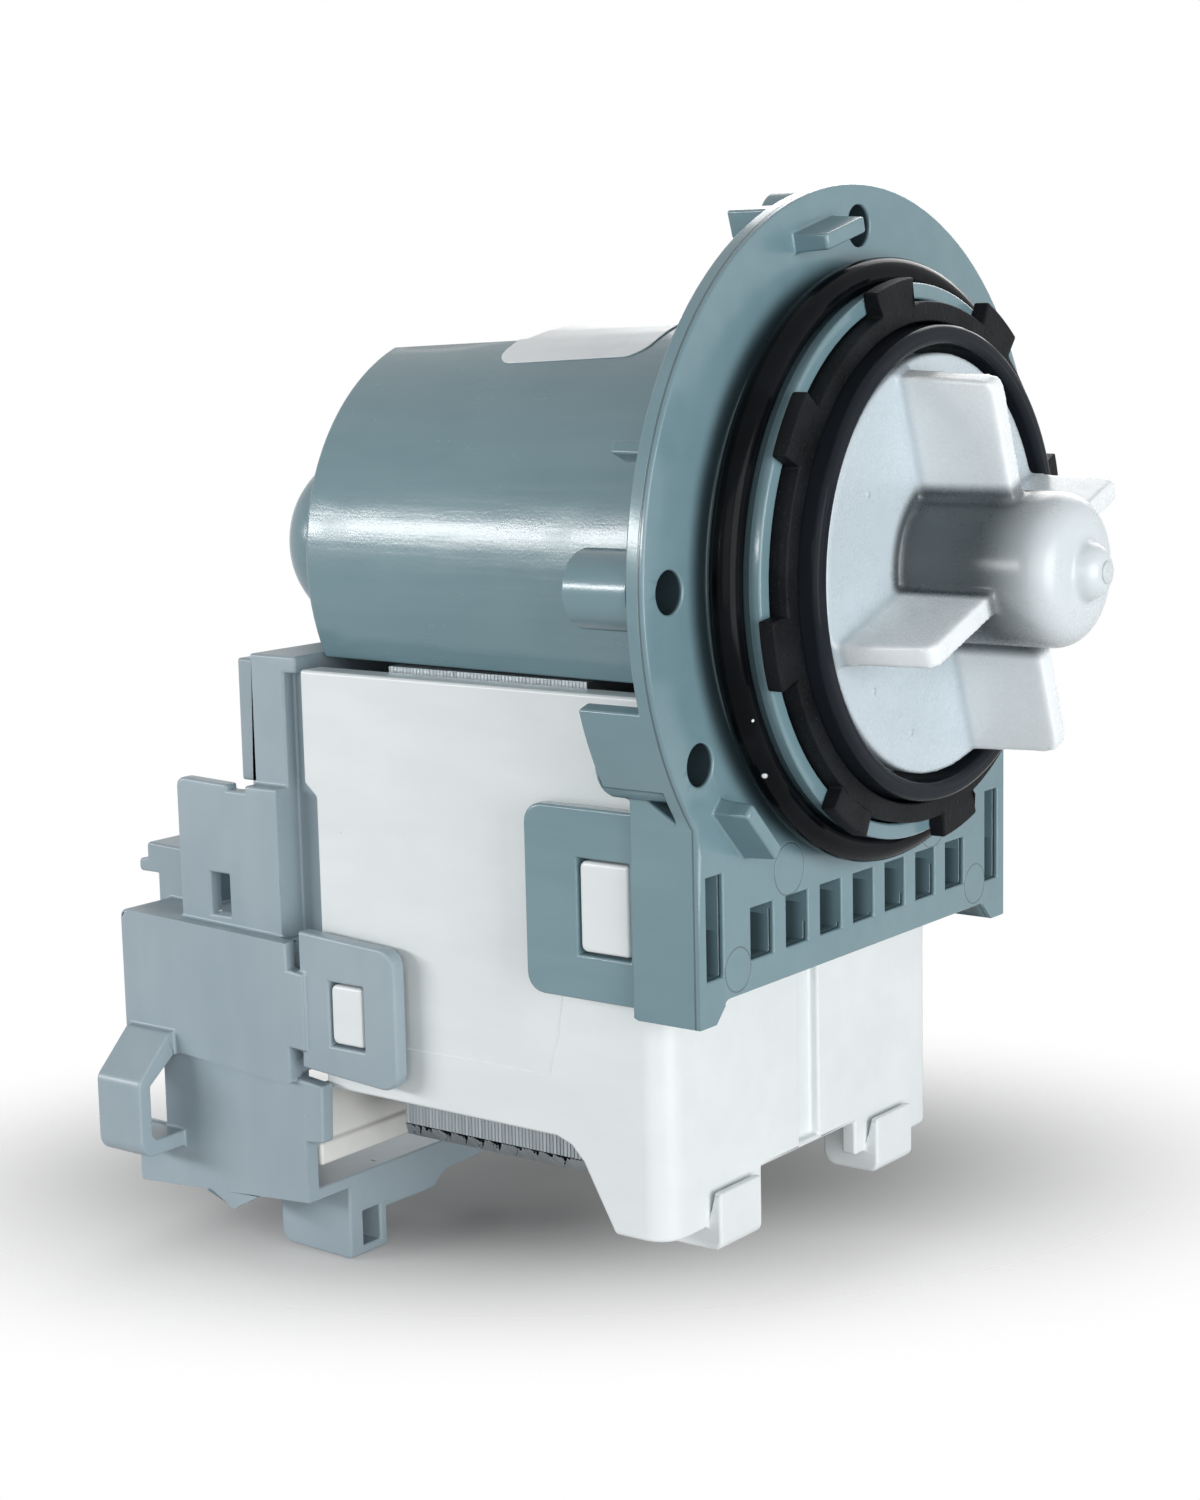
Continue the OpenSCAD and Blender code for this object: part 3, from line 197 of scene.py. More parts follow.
def mouldedLayers(f, v):
    place = f.place()
    drift = f.spread(f.noise(place, v["driftSize"], 3), 0.3, 0.7)
    flow = f.spread(f.noise(f.stretch(place, v["flowRun"]), v["flowSize"], 2), 0.3, 0.7)
    grain = f.noise(place, v["grainSize"], 2)
    smudge = f.spread(f.noise(place, v["smudgeSize"], 4, 0.6), 0.48, 0.72)
    specks = f.specks(place, v["speckGap"], v["speckSize"], v["speckShare"])
    colour = f.mix(drift * 0.65 + flow * 0.35, v["dark"], v["light"])
    colour = f.mix(specks * 0.7, colour, v["speckColour"])
    rough = v["rough"] + smudge * v["smudgeRough"] + (grain - 0.5) * v["grainRough"]
    height = grain * v["grainHeight"] + drift * v["waveHeight"] + specks * v["speckHeight"]
    return place, colour, rough, height


# Sizes in mm, heights too; colours are linear
plasticWorks = {
    "driftSize": 22.0,
    "flowRun": (0.25, 1.0, 1.0),
    "flowSize": 3.5,
    "grainSize": 0.32,
    "smudgeSize": 9.0,
    "smudgeRough": 0.06,
    "grainRough": 0.05,
    "grainHeight": 0.010,
    "waveHeight": 0.05,
    "speckGap": 6.0,
    "speckSize": 0.14,
    "speckShare": 0.3,
    "speckHeight": 0.01,
}
housingPlastic = plasticWorks | {
    "dark": (0.142, 0.236, 0.272, 1),
    "light": (0.172, 0.272, 0.308, 1),
    "speckColour": (0.30, 0.39, 0.42, 1),
    "rough": 0.20,
    "paintedShade": (0.022, 0.036, 0.043, 1),  # painted shade inside the screw holes and pockets and on the flange beside the seal ring
    "holes": [(0, 36.5), (31.61, -18.25), (-31.61, -18.25), (36.5, 0), (-36.5, 0)],
    "holeRadius": 2.32,
    # the pocket floors and a strip of flange beside the seal ring get painted shade
    "pocket": {"top": -36.5, "halfWidth": 31.9, "rear": -9.0, "shade": 0.62},
    "sealStrip": {"outer": 34.0, "inner": 30.6, "rear": -0.3, "front": 1.5, "shade": 0.6},
    "partingX": -0.62,
    "rimRadius": 40.3,
    "ejectors": [
        (-25.3, -41.1, 2.4), (25.3, -41.1, 2.4), (-15.3, -32.0, 2.9), (15.3, -32.0, 2.9),
    ],
    "markColour": (0.055, 0.088, 0.098, 1),
    "drawLineSize": 1.1,
    "drawColour": (0.23, 0.31, 0.33, 1),
}
bracketPlastic = plasticWorks | {
    "dark": (0.270, 0.342, 0.384, 1),
    "light": (0.315, 0.388, 0.430, 1),
    "speckColour": (0.45, 0.5, 0.53, 1),
    "rough": 0.36,
    "flowRun": (1.0, 1.0, 0.3),
}
whitePlastic = plasticWorks | {
    "dark": (0.690, 0.735, 0.745, 1),
    "light": (0.755, 0.795, 0.800, 1),
    "speckColour": (0.5, 0.53, 0.54, 1),
    "rough": 0.30,
    "speckShare": 0.12,
}
formerPlastic = plasticWorks | {
    "dark": (0.68, 0.685, 0.66, 1),
    "light": (0.76, 0.765, 0.74, 1),
    "speckColour": (0.5, 0.47, 0.4, 1),
    "rough": 0.38,
    "waveHeight": 0.03,
}
capPlastic = plasticWorks | {
    "dark": (0.20, 0.24, 0.26, 1),
    "light": (0.25, 0.29, 0.31, 1),
    "speckColour": (0.4, 0.43, 0.45, 1),
    "rough": 0.4,
}
impellerPlastic = plasticWorks | {
    "dark": (0.78, 0.83, 0.85, 1),
    "light": (0.83, 0.87, 0.89, 1),
    "speckColour": (0.88, 0.90, 0.91, 1),
    "hubShadeAllRound": (0.60, 0.66, 0.69, 1),
    "rough": 0.27,
    "discShade": (0.46, 0.54, 0.59, 1),  # painted shade: the thin disc is darker, standing for the dark housing seen through it
    "hubShade": (0.045, 0.060, 0.067, 1),  # painted shade: the hub is darkened, standing for the dark drive parts seen through the milky plastic
    "hubRadius": 9.4,
    "hubShadeStart": 18.5,
    "hubShadeEnd": 28.5,
    "milkColour": (0.72, 0.78, 0.81, 1),
    "grainHeight": 0.002,
    "waveHeight": 0.02,
    "speckShare": 0.12,
    "speckSize": 0.22,
    "turnRate": 9.0,
    "turnHeight": 0.004,
    "nibs": [(9.8, -14.5, 8.6), (9.8, -13.6, -12.2), (9.8, -6.0, -17.6)],
    "nibHeight": 0.12,
}


def makeHousingFinish(v):
    f = Finish("housingPlastic")
    place, colour, rough, height = mouldedLayers(f, v)
    x, y, z = f.split(place)
    radius = radiusAt(y, z)
    onRim = radius > v["rimRadius"]
    parting = f.line(x, v["partingX"], 0.16) * onRim
    rings = 0.0
    for ringY, ringZ, ringR in v["ejectors"]:
        rings = f.line(radiusAt(y - ringY, z - ringZ), ringR, 0.13) + rings
    rings = rings * (x > -0.4)
    behind = f.spread(x, -9.0, -11.0)  # the can, behind the flange
    lines = f.noise(f.stretch(place, (0.05, 1, 1)), v["drawLineSize"], 3)
    drawn = f.spread(lines, 0.35, 0.7) * behind
    marks = (parting * 0.75 + rings * 0.55).maths("MINIMUM", 1)
    colour = f.mix(marks, colour, v["markColour"])
    colour = f.mix(drawn * 0.08, colour, v["drawColour"])
    # painted shade: the screw holes, the pocket floors and a ring of flange just outside the seal
    # ring are coloured darker
    within = 0.0
    for holeY, holeZ in v["holes"]:
        within = (radiusAt(y - holeY, z - holeZ) < v["holeRadius"]) + within
    pit, strip = v["pocket"], v["sealStrip"]
    pocket = (z < pit["top"]) * (abs(y) < pit["halfWidth"]) * (x > pit["rear"])
    pocket = pocket * f.spread(x, -0.5, -2.4) * pit["shade"]
    besideSeal = f.spread(radius, strip["outer"], strip["inner"])
    besideSeal = besideSeal * (x > strip["rear"]) * (x < strip["front"]) * strip["shade"]
    paintedShade = within * f.spread(x, -0.1, -0.6) + pocket + besideSeal
    colour = f.mix(paintedShade.maths("MINIMUM", 0.94), colour, v["paintedShade"])
    rough = rough + drawn * 0.05
    height = height - parting * 0.09 - rings * 0.04 + drawn * 0.006
    return f.close(colour, rough, height, {"Specular IOR Level": 0.5})


def makeMouldedFinish(name, v):
    f = Finish(name)
    colour, rough, height = mouldedLayers(f, v)[1:]
    return f.close(colour, rough, height, {"Specular IOR Level": 0.5})


def makeImpellerFinish(v):
    f = Finish("impellerPlastic")
    place, colour, rough, height = mouldedLayers(f, v)
    x, y, z = f.split(place)
    radius = radiusAt(y, z)
    turned = f.spread((radius * v["turnRate"]).maths("SINE"), -1, 1) * f.spread(x, 10.4, 9.9)
    nibs = 0.0
    for spot in v["nibs"]:
        nibs = (1 - f.spread(f.away(place, spot), 0.15, 0.5)) + nibs
    milk = f.spread(f.noise(place, 9.0, 2), 0.3, 0.7)
    colour = f.mix(milk * 0.25, colour, v["milkColour"])
    # painted shade on the disc, standing for the dark housing seen through it
    colour = f.mix(f.spread(x, 11.4, 9.9) * 0.85, colour, v["discShade"])
    # painted shade on the hub: a little darker all round, and much darker towards the disc
    hub = f.spread(radius, v["hubRadius"] + 1.2, v["hubRadius"] - 0.4)
    along = f.spread(x, v["hubShadeEnd"], v["hubShadeStart"])
    colour = f.mix(hub * 0.8, colour, v["hubShadeAllRound"])
    colour = f.mix(hub * along * 0.95, colour, v["hubShade"])
    height = height + turned * v["turnHeight"] + nibs * v["nibHeight"]
    fixed = {
        "Subsurface Weight": 0.35,
        "Subsurface Radius": (1.0, 0.95, 0.9),
        "Subsurface Scale": 0.0016,
        "Specular IOR Level": 0.5,
    }
    return f.close(colour, rough, height, fixed)


rubber = {
    "dark": (0.0025, 0.003, 0.004, 1),
    "light": (0.005, 0.006, 0.008, 1),
    "lipSheen": (0.018, 0.022, 0.028, 1),
    "dust": (0.09, 0.095, 0.10, 1),
    "rough": 0.15,
    "grainSize": 0.4,
    "grainHeight": 0.006,
    "ringPitch": 0.55,
    "ringHeight": 0.012,
    "lipRadius": 26.2,
    "lint": [(4.9, -29.15, -13.6, 0.22), (4.3, -26.3, -19.9, 0.45)],  # x, y, z, size
    "lintColour": (0.75, 0.78, 0.78, 1),
    "lintHeight": 0.08,
}
grainyBlack = {
    "dark": (0.0025, 0.003, 0.004, 1),
    "light": (0.007, 0.008, 0.010, 1),
    "glint": (0.05, 0.052, 0.056, 1),
    "rough": 0.52,
    "grainSize": 0.30,
    "grainHeight": 0.055,
}


def makeRubberFinish(v):
    f = Finish("blackRubber")
    place = f.place()
    radius = radiusAt(*f.split(place)[1:])
    cloud = f.spread(f.noise(place, 7.0, 3), 0.3, 0.7)
    grain = f.noise(place, v["grainSize"], 2)
    dust = f.specks(place, 2.2, 0.09, 0.12)
    bloom = f.spread(f.noise(place, 3.0, 4, 0.65), 0.55, 0.8)
    inner = radius < v["lipRadius"]  # the lip ring's turned front
    rings = f.spread((radius * (2 * math.pi / v["ringPitch"])).maths("SINE"), -1, 1) * inner
    colour = f.mix(cloud, v["dark"], v["light"])
    # painted sheen: the lip ring's front is coloured lighter, standing for soft light on its
    # turned rings
    colour = f.mix(inner * 0.8, colour, v["lipSheen"])
    colour = f.mix(dust * 0.5 + bloom * 0.03, colour, v["dust"])
    lint = 0.0
    for *spot, size in v["lint"]:
        lint = (1 - f.spread(f.away(place, spot), size * 0.6, size)) + lint
    colour = f.mix(lint.maths("MINIMUM", 1), colour, v["lintColour"])
    rough = v["rough"] + bloom * 0.12 + (grain - 0.5) * 0.08
    height = grain * v["grainHeight"] + rings * v["ringHeight"] + lint * v["lintHeight"]
    return f.close(colour, rough, height, {"Specular IOR Level": 0.05})


def makeGrainyBlackFinish(v):
    f = Finish("grainyBlack")
    place = f.place()
    cloud = f.spread(f.noise(place, 5.0, 3), 0.3, 0.7)
    grain = f.noise(place, v["grainSize"], 3, 0.7)
    pits = f.spread(f.noise(place, v["grainSize"] * 2.2, 2), 0.5, 0.75)
    peaks = f.spread(grain, 0.60, 0.74)
    colour = f.mix(cloud, v["dark"], v["light"])
    colour = f.mix(peaks * 0.55, colour, v["glint"])
    rough = v["rough"] + (grain - 0.5) * 0.25
    height = (grain - pits * 0.5) * v["grainHeight"]
    return f.close(colour, rough, height, {"Specular IOR Level": 0.10})


metals = {
    "steel": {
        "dark": (0.42, 0.44, 0.45, 1), "light": (0.62, 0.64, 0.65, 1),
        "rough": 0.28, "metallic": 1.0,
    },
    "bronze": {
        "dark": (0.20, 0.15, 0.10, 1), "light": (0.34, 0.26, 0.18, 1),
        "rough": 0.5, "metallic": 0.9,
    },
    "tinnedBrass": {
        "dark": (0.45, 0.41, 0.30, 1), "light": (0.66, 0.62, 0.50, 1),
        "rough": 0.3, "metallic": 1.0,
    },
}


def makeMetalFinish(name, v):
    f = Finish(name)
    place = f.place()
    tone = f.spread(f.noise(place, 5.0, 4), 0.3, 0.7)
    brushed = f.noise(f.stretch(place, (0.06, 1.0, 1.0)), 0.12, 3, 0.6)
    pits = f.specks(place, 0.9, 0.12, 0.5)
    colour = f.mix(tone, v["dark"], v["light"])
    colour = f.mix(pits * 0.4, colour, v["dark"])
    rough = v["rough"] + (brushed - 0.5) * 0.2 + pits * 0.1
    height = brushed * 0.006 - pits * 0.01
    return f.close(colour, rough, height, {"Metallic": v["metallic"]})


sheetStack = {
    "pitch": 0.5,
    "dark": (0.24, 0.275, 0.295, 1),
    "light": (0.36, 0.40, 0.42, 1),
    "rust": (0.20, 0.13, 0.08, 1),
    "seamColour": (0.08, 0.09, 0.10, 1),
    "rough": 0.42,
}


def makeSheetStackFinish(v):
    f = Finish("sheetStack")
    place = f.place()
    step = f.split(place)[0] / v["pitch"]
    sheet = step.maths("FLOOR")
    inside = step - sheet
    own = f.node("ShaderNodeTexWhiteNoise", {"noise_dimensions": "1D"}, {"W": sheet})
    seam = 1 - f.spread(abs(inside - 0.5), 0.46, 0.36)
    torn = f.noise(f.stretch(place, (6.0, 0.6, 0.6)), 0.8, 3, 0.6)
    rust = f.spread(f.noise(place, 2.6, 4, 0.7), 0.62, 0.78)
    colour = f.mix(own * 0.6 + torn * 0.4, v["dark"], v["light"])
    colour = f.mix(seam * 0.5, colour, v["seamColour"])
    colour = f.mix(rust * 0.10, colour, v["rust"])
    rough = v["rough"] + (own - 0.5) * 0.16 + rust * 0.2
    height = seam * -0.06 + own * 0.03 + torn * 0.012
    return f.close(colour, rough, height, {"Metallic": 0.55})


def makeMagnetFinish():
    f = Finish("ferrite")
    place = f.place()
    tone = f.spread(f.noise(place, 3.0, 4), 0.3, 0.7)
    ground = f.noise(f.stretch(place, (1.0, 0.1, 0.1)), 0.2, 3)
    chips = f.specks(place, 1.6, 0.25, 0.4)
    colour = f.mix(tone, (0.028, 0.030, 0.036, 1), (0.055, 0.057, 0.064, 1))
    colour = f.mix(chips * 0.5, colour, (0.016, 0.017, 0.02, 1))
    rough = 0.45 + (ground - 0.5) * 0.2
    return f.close(colour, rough, ground * 0.01 - chips * 0.04, {"Metallic": 0.2})


def makeCopperFinish():
    f = Finish("copperWire")
    place = f.place()
    tone = f.spread(f.noise(place, 2.0, 4), 0.3, 0.7)
    glaze = f.noise(f.stretch(place, (1.0, 1.0, 5.0)), 0.5, 2)
    scuff = f.specks(place, 1.3, 0.16, 0.35)
    colour = f.mix(tone, (0.40, 0.135, 0.045, 1), (0.60, 0.25, 0.09, 1))
    colour = f.mix(scuff * 0.4, colour, (0.75, 0.45, 0.28, 1))
    rough = 0.28 + (glaze - 0.5) * 0.2
    return f.close(colour, rough, glaze * 0.01, {"Metallic": 0.8, "Coat Weight": 0.3})


def makeTapeFinish():
    f = Finish("windingTape")
    place = f.place()
    z = f.split(place)[2]
    lap = f.spread((z * 0.9).maths("FRACT"), 0.0, 0.08)
    cloud = f.spread(f.noise(place, 4.0, 3), 0.3, 0.7)
    wrinkle = f.noise(f.stretch(place, (1.0, 1.0, 3.0)), 1.2, 3)
    colour = f.mix(cloud, (0.60, 0.38, 0.08, 1), (0.74, 0.52, 0.16, 1))
    colour = f.mix((1 - lap) * 0.5, colour, (0.40, 0.24, 0.05, 1))
    rough = 0.25 + (wrinkle - 0.5) * 0.2
    return f.close(colour, rough, wrinkle * 0.05 + lap * 0.04, {"Specular IOR Level": 0.5})


def makeLabelFinish():
    f = Finish("labelFilm")
    place = f.place()
    cloud = f.spread(f.noise(place, 8.0, 3), 0.3, 0.7)
    fibre = f.noise(f.stretch(place, (0.3, 1.0, 1.0)), 0.25, 3, 0.6)
    dullPatch = f.spread(f.noise(place, 5.0, 2), 0.56, 0.7)
    specks = f.specks(place, 4.5, 0.12, 0.3)
    colour = f.mix(cloud, (0.83, 0.87, 0.89, 1), (0.88, 0.915, 0.93, 1))
    # patches at random, a little darker and rougher
    colour = f.mix(specks * 0.4 + dullPatch * 0.06, colour, (0.45, 0.48, 0.5, 1))
    rough = 0.34 + (fibre - 0.5) * 0.12 + dullPatch * 0.08
    return f.close(colour, rough, fibre * 0.006 + cloud * 0.03, {"Specular IOR Level": 0.5})


finishes = {
    "housing_plastic": makeHousingFinish(housingPlastic),
    "bracket_plastic": makeMouldedFinish("bracketPlastic", bracketPlastic),
    "white_plastic": makeMouldedFinish("whitePlastic", whitePlastic),
    "impeller_plastic": makeImpellerFinish(impellerPlastic),
    "cap_plastic": makeMouldedFinish("capPlastic", capPlastic),
    "former_plastic": makeMouldedFinish("formerPlastic", formerPlastic),
    "black_rubber": makeRubberFinish(rubber),
    "black_plastic": makeGrainyBlackFinish(grainyBlack),
    "steel": makeMetalFinish("groundSteel", metals["steel"]),
    "sheet_stack": makeSheetStackFinish(sheetStack),
    "magnet": makeMagnetFinish(),
    "bronze": makeMetalFinish("sinteredBronze", metals["bronze"]),
    "copper_wire": makeCopperFinish(),
    "tape": makeTapeFinish(),
    "tinned_brass": makeMetalFinish("tinnedBrass", metals["tinnedBrass"]),
    "label": makeLabelFinish(),
}
slotOf = {row["node"]: row["material_slot"] for row in frame["record"]["subparts"]}
bodies = frame["record"]["behaviour"]["bodies"]
bodyOf = {node: body for body, members in bodies.items() for node in members}


def paint(piece, slot):
    piece.data.materials.clear()
    piece.data.materials.append(finishes[slot])


for name, part in nodes.items():
    paint(part, slotOf[name])
print("finishes made:", len(finishes))


# Working steps of the pieces
def deselectAll():
    if bpy.context.object and bpy.context.object.mode != "OBJECT":
        bpy.ops.object.mode_set(mode="OBJECT")
    bpy.ops.object.select_all(action="DESELECT")


def pickUp(piece):
    deselectAll()
    piece.select_set(True)
    bpy.context.view_layer.objects.active = piece


def selectFaces(piece, chosen):  # chosen takes a face's middle in mm and its normal
    bpy.ops.object.mode_set(mode="OBJECT")
    mesh = piece.data
    for item in list(mesh.vertices) + list(mesh.edges):
        item.select = False
    for face in mesh.polygons:
        face.select = bool(chosen(face.center / mm, face.normal))
    bpy.ops.object.mode_set(mode="EDIT")


def selectEdges(piece, chosen):  # chosen takes an edge's two ends in mm
    bpy.ops.object.mode_set(mode="OBJECT")
    mesh = piece.data
    for item in list(mesh.vertices) + list(mesh.polygons):
        item.select = False
    for edge in mesh.edges:
        a, b = (mesh.vertices[i].co / mm for i in edge.vertices)
        edge.select = bool(chosen(a, b))
        if edge.select:
            for i in edge.vertices:
                mesh.vertices[i].select = True
    bpy.ops.object.mode_set(mode="EDIT")


def applyModifier(piece, kind, **settings):
    pickUp(piece)
    modifier = piece.modifiers.new(kind.lower(), kind)
    for key, value in settings.items():
        setattr(modifier, key, value)
    bpy.ops.object.modifier_apply(modifier=modifier.name)


def finishPiece(piece, name, body, slot, replaced=(), smooth=40):
    pickUp(piece)
    bpy.ops.object.transform_apply(location=True, rotation=True, scale=True)
    bpy.ops.object.shade_smooth_by_angle(angle=math.radians(smooth))
    piece.name = name
    piece.data.name = name
    paint(piece, slot)
    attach(piece, body)
    if replaced:
        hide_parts(*replaced)
    return piece


# The moulded parts keep the solid's shape and get the rounded edges of the real mouldings
edgeRounds = {
    "motor_housing": {"piece": "housingMoulding", "round": 0.28, "steps": 2, "from": 38},
    "coil_cover": {"piece": "coilCoverMoulding", "round": 0.40, "steps": 3, "from": 38},
    "terminal_bracket": {"piece": "bracketMoulding", "round": 0.34, "steps": 3, "from": 38},
    "terminal_block": {"piece": "terminalBlockMoulding", "round": 0.40, "steps": 3, "from": 38},
    "lock_ring": {"piece": "lockRingMoulding", "round": 0.25, "steps": 2, "from": 38},
}
roundingRules = {
    "passes": 8,
    "sample": 2.5,  # mm between the tested spots of a triangle
    "offSolid": 0.6,  # these three are shares of the rounding
    "offRounded": 0.75,
    "clear": 1.3,
    "step": 0.2,  # mm along an edge
}


def sharpEdges(mesh, angle):
    sides = {}
    for face in mesh.polygons:
        for key in face.edge_keys:
            sides.setdefault(key, []).append(face.normal)
    found = set()
    for edge in mesh.edges:
        pair = sides.get(tuple(sorted(edge.vertices)), [])
        if len(pair) == 2 and pair[0].angle(pair[1], 0) > math.radians(angle):
            found.add(edge.index)
    return found


def surfaceOf(mesh):
    mesh.calc_loop_triangles()
    return BVHTree.FromPolygons(
        [p.co for p in mesh.vertices], [t.vertices[:] for t in mesh.loop_triangles]
    )


def strays(mesh, surface, reach):  # spots of the mesh that lie off the other surface
    found = []
    for triangle in mesh.loop_triangles:
        a, b, c = (mesh.vertices[i].co for i in triangle.vertices)
        longest = max((a - b).length, (b - c).length, (c - a).length)
        count = min(12, 1 + int(longest / (roundingRules["sample"] * mm)))
        for i in range(count):
            for j in range(count - i):
                spot = a + (b - a) * ((i + 1 / 3) / count) + (c - a) * ((j + 1 / 3) / count)
                if surface.find_nearest(spot)[3] > reach:
                    found.append(spot)
    return found


def roundEdges(piece, v):
    plain = piece.data
    solid = surfaceOf(plain)
    chosen = sharpEdges(plain, v["from"])
    width = v["round"] * mm
    rules = roundingRules
    for attempt in range(rules["passes"]):
        piece.data = plain.copy()
        weights = piece.data.attributes.new("bevel_weight_edge", "FLOAT", "EDGE")
        weights.data.foreach_set("value", [float(e.index in chosen) for e in plain.edges])
        applyModifier(
            piece, "BEVEL", width=width, segments=v["steps"], limit_method="WEIGHT",
            use_clamp_overlap=False, loop_slide=False,
        )
        rounded = surfaceOf(piece.data)
        faults = strays(piece.data, solid, rules["offSolid"] * width)
        faults += strays(plain, rounded, rules["offRounded"] * width)
        print(piece.name, "pass", attempt, "edges:", len(chosen), "faults:", len(faults))
        if not faults:
            break
        near = KDTree(len(faults))
        for i, fault in enumerate(faults):
            near.insert(fault, i)
        near.balance()
        for index in list(chosen):  # an edge with no room for its rounding stays sharp
            a, b = (plain.vertices[i].co for i in plain.edges[index].vertices)
            count = max(1, int((b - a).length / (rules["step"] * mm)))
            gap = min(near.find(a.lerp(b, i / count))[2] for i in range(count + 1))
            if gap < rules["clear"] * width:
                chosen.discard(index)


def copyNode(node, name):
    piece = bpy.data.objects.new(name, nodes[node].data.copy())
    bpy.context.scene.collection.objects.link(piece)
    pickUp(piece)
    bpy.ops.object.mode_set(mode="EDIT")
    bpy.ops.mesh.select_all(action="SELECT")
    bpy.ops.mesh.customdata_custom_splitnormals_clear()
    bpy.ops.mesh.remove_doubles(threshold=0.002 * mm)
    bpy.ops.mesh.tris_convert_to_quads(
        face_threshold=math.radians(1), shape_threshold=math.radians(180)
    )
    bpy.ops.object.mode_set(mode="OBJECT")
    return piece


def roundedMoulding(node, v):
    piece = copyNode(node, v["piece"])
    roundEdges(piece, v)
    finishPiece(piece, v["piece"], bodyOf[node], slotOf[node], [node], 50)
    applyModifier(piece, "WEIGHTED_NORMAL", keep_sharp=True, weight=80)
    return piece


for node, values in edgeRounds.items():
    made = roundedMoulding(node, values)
    print("moulding", made.name, "faces:", len(made.data.polygons))

# The impeller is moulded soft all over, its vane roots too
impellerSoft = {"piece": "impellerMoulding", "voxel": 0.30, "smoothing": 8}


def softMoulding(node, v):
    piece = copyNode(node, v["piece"])
    applyModifier(piece, "REMESH", mode="VOXEL", voxel_size=v["voxel"] * mm)
    applyModifier(piece, "SMOOTH", factor=0.5, iterations=v["smoothing"])
    return finishPiece(piece, v["piece"], bodyOf[node], slotOf[node], [node], 60)


made = softMoulding("impeller", impellerSoft)
print("moulding", made.name, "faces:", len(made.data.polygons))


# The sticker lies over the can and its flat top
labelSheet = {
    "from": -40.0,
    "to": -19.0,
    "halfWidth": 14.6,
    "corner": 2.6,
    "above": 38,  # it starts over the can and is laid down from there
    "lift": 0.05,
    "thick": 0.12,
}


def layLabel(v):
    length = v["to"] - v["from"]
    middle = (v["from"] + v["to"]) / 2
    bpy.ops.mesh.primitive_grid_add(
        x_subdivisions=42, y_subdivisions=58, size=1,
        location=(middle * mm, 0, v["above"] * mm),
    )
    piece = bpy.context.object
    pickUp(piece)
    piece.scale = (length * mm, 2 * v["halfWidth"] * mm, 1)
    bpy.ops.object.transform_apply(location=True, rotation=True, scale=True)
    reach = Vector((length / 2 - v["corner"], v["halfWidth"] - v["corner"])) * mm
    for vertex in piece.data.vertices:  # round the four corners
        across = vertex.co.x - middle * mm, vertex.co.y
        past = Vector((max(0, abs(across[0]) - reach.x), max(0, abs(across[1]) - reach.y)))
        square = max(past)
        if min(past) > 0 and square > 0:
            past *= square / past.length
            vertex.co.x = middle * mm + math.copysign(reach.x + past.x, across[0])
            vertex.co.y = math.copysign(reach.y + past.y, across[1])
    applyModifier(
        piece, "SHRINKWRAP", target=bpy.data.objects["housingMoulding"], wrap_method="PROJECT",
        use_project_z=True, use_negative_direction=True, use_positive_direction=False,
        offset=v["lift"] * mm,
    )
    applyModifier(piece, "SOLIDIFY", thickness=v["thick"] * mm, offset=1)
    return finishPiece(piece, "labelFilm", bodyOf["rating_label"], "label", ["rating_label"], 40)


layLabel(labelSheet)
print("label laid")

# The bar across the coils is a stack of punched sheets
yokeSheet = {
    "pitch": 0.5,
    "gap": 0.03,
    "corner": 2.2,
    "shift": 0.012,
    "upSeed": (12.9898, 43758.5453),
    "sideSeed": (78.233, 24634.6345),
}


def scatter(number, seed):  # from -0.5 to 0.5, the same for a number in each run
    return math.sin(number * seed[0]) * seed[1] % 1 - 0.5


def stackYoke(v):
    low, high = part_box("core_yoke")
    size = (high - low) / mm
    count = int(size.x / v["pitch"])
    pitch = size.x / count
    bpy.ops.mesh.primitive_cube_add(size=1, location=(low + high) / 2)
    piece = bpy.context.object
    pickUp(piece)
    piece.scale = ((pitch - v["gap"]) * mm, size.y * mm, size.z * mm)
    piece.location.x = low.x + pitch / 2 * mm
    bpy.ops.object.transform_apply(location=True, rotation=True, scale=True)
    bottom = low.z / mm
    selectEdges(piece, lambda a, b: max(a.z, b.z) < bottom + 0.1 and abs(a.y - b.y) < 0.1)
    bpy.ops.mesh.bevel(offset=v["corner"] * mm, segments=1, affect="EDGES")
    bpy.ops.object.mode_set(mode="OBJECT")
    applyModifier(piece, "BEVEL", width=0.03 * mm, segments=1, limit_method="ANGLE")
    applyModifier(
        piece, "ARRAY", count=count, use_relative_offset=False, use_constant_offset=True,
        constant_offset_displace=(pitch * mm, 0, 0),
    )
    for vertex in piece.data.vertices:
        sheet = int((vertex.co.x / mm - low.x / mm) / pitch)
        vertex.co.z += scatter(sheet, v["upSeed"]) * v["shift"] * mm
        vertex.co.y += scatter(sheet, v["sideSeed"]) * v["shift"] * mm
    return finishPiece(piece, "yokeSheets", "stator", "sheet_stack", ["core_yoke"], 30)


stackYoke(yokeSheet)
print("yoke stacked")

# Sealing ring with its moulding seam, turned from its section
sealRing = {"x": 3.3, "thick": 3.5, "seam": 0.09, "steps": 160, "around": 28}


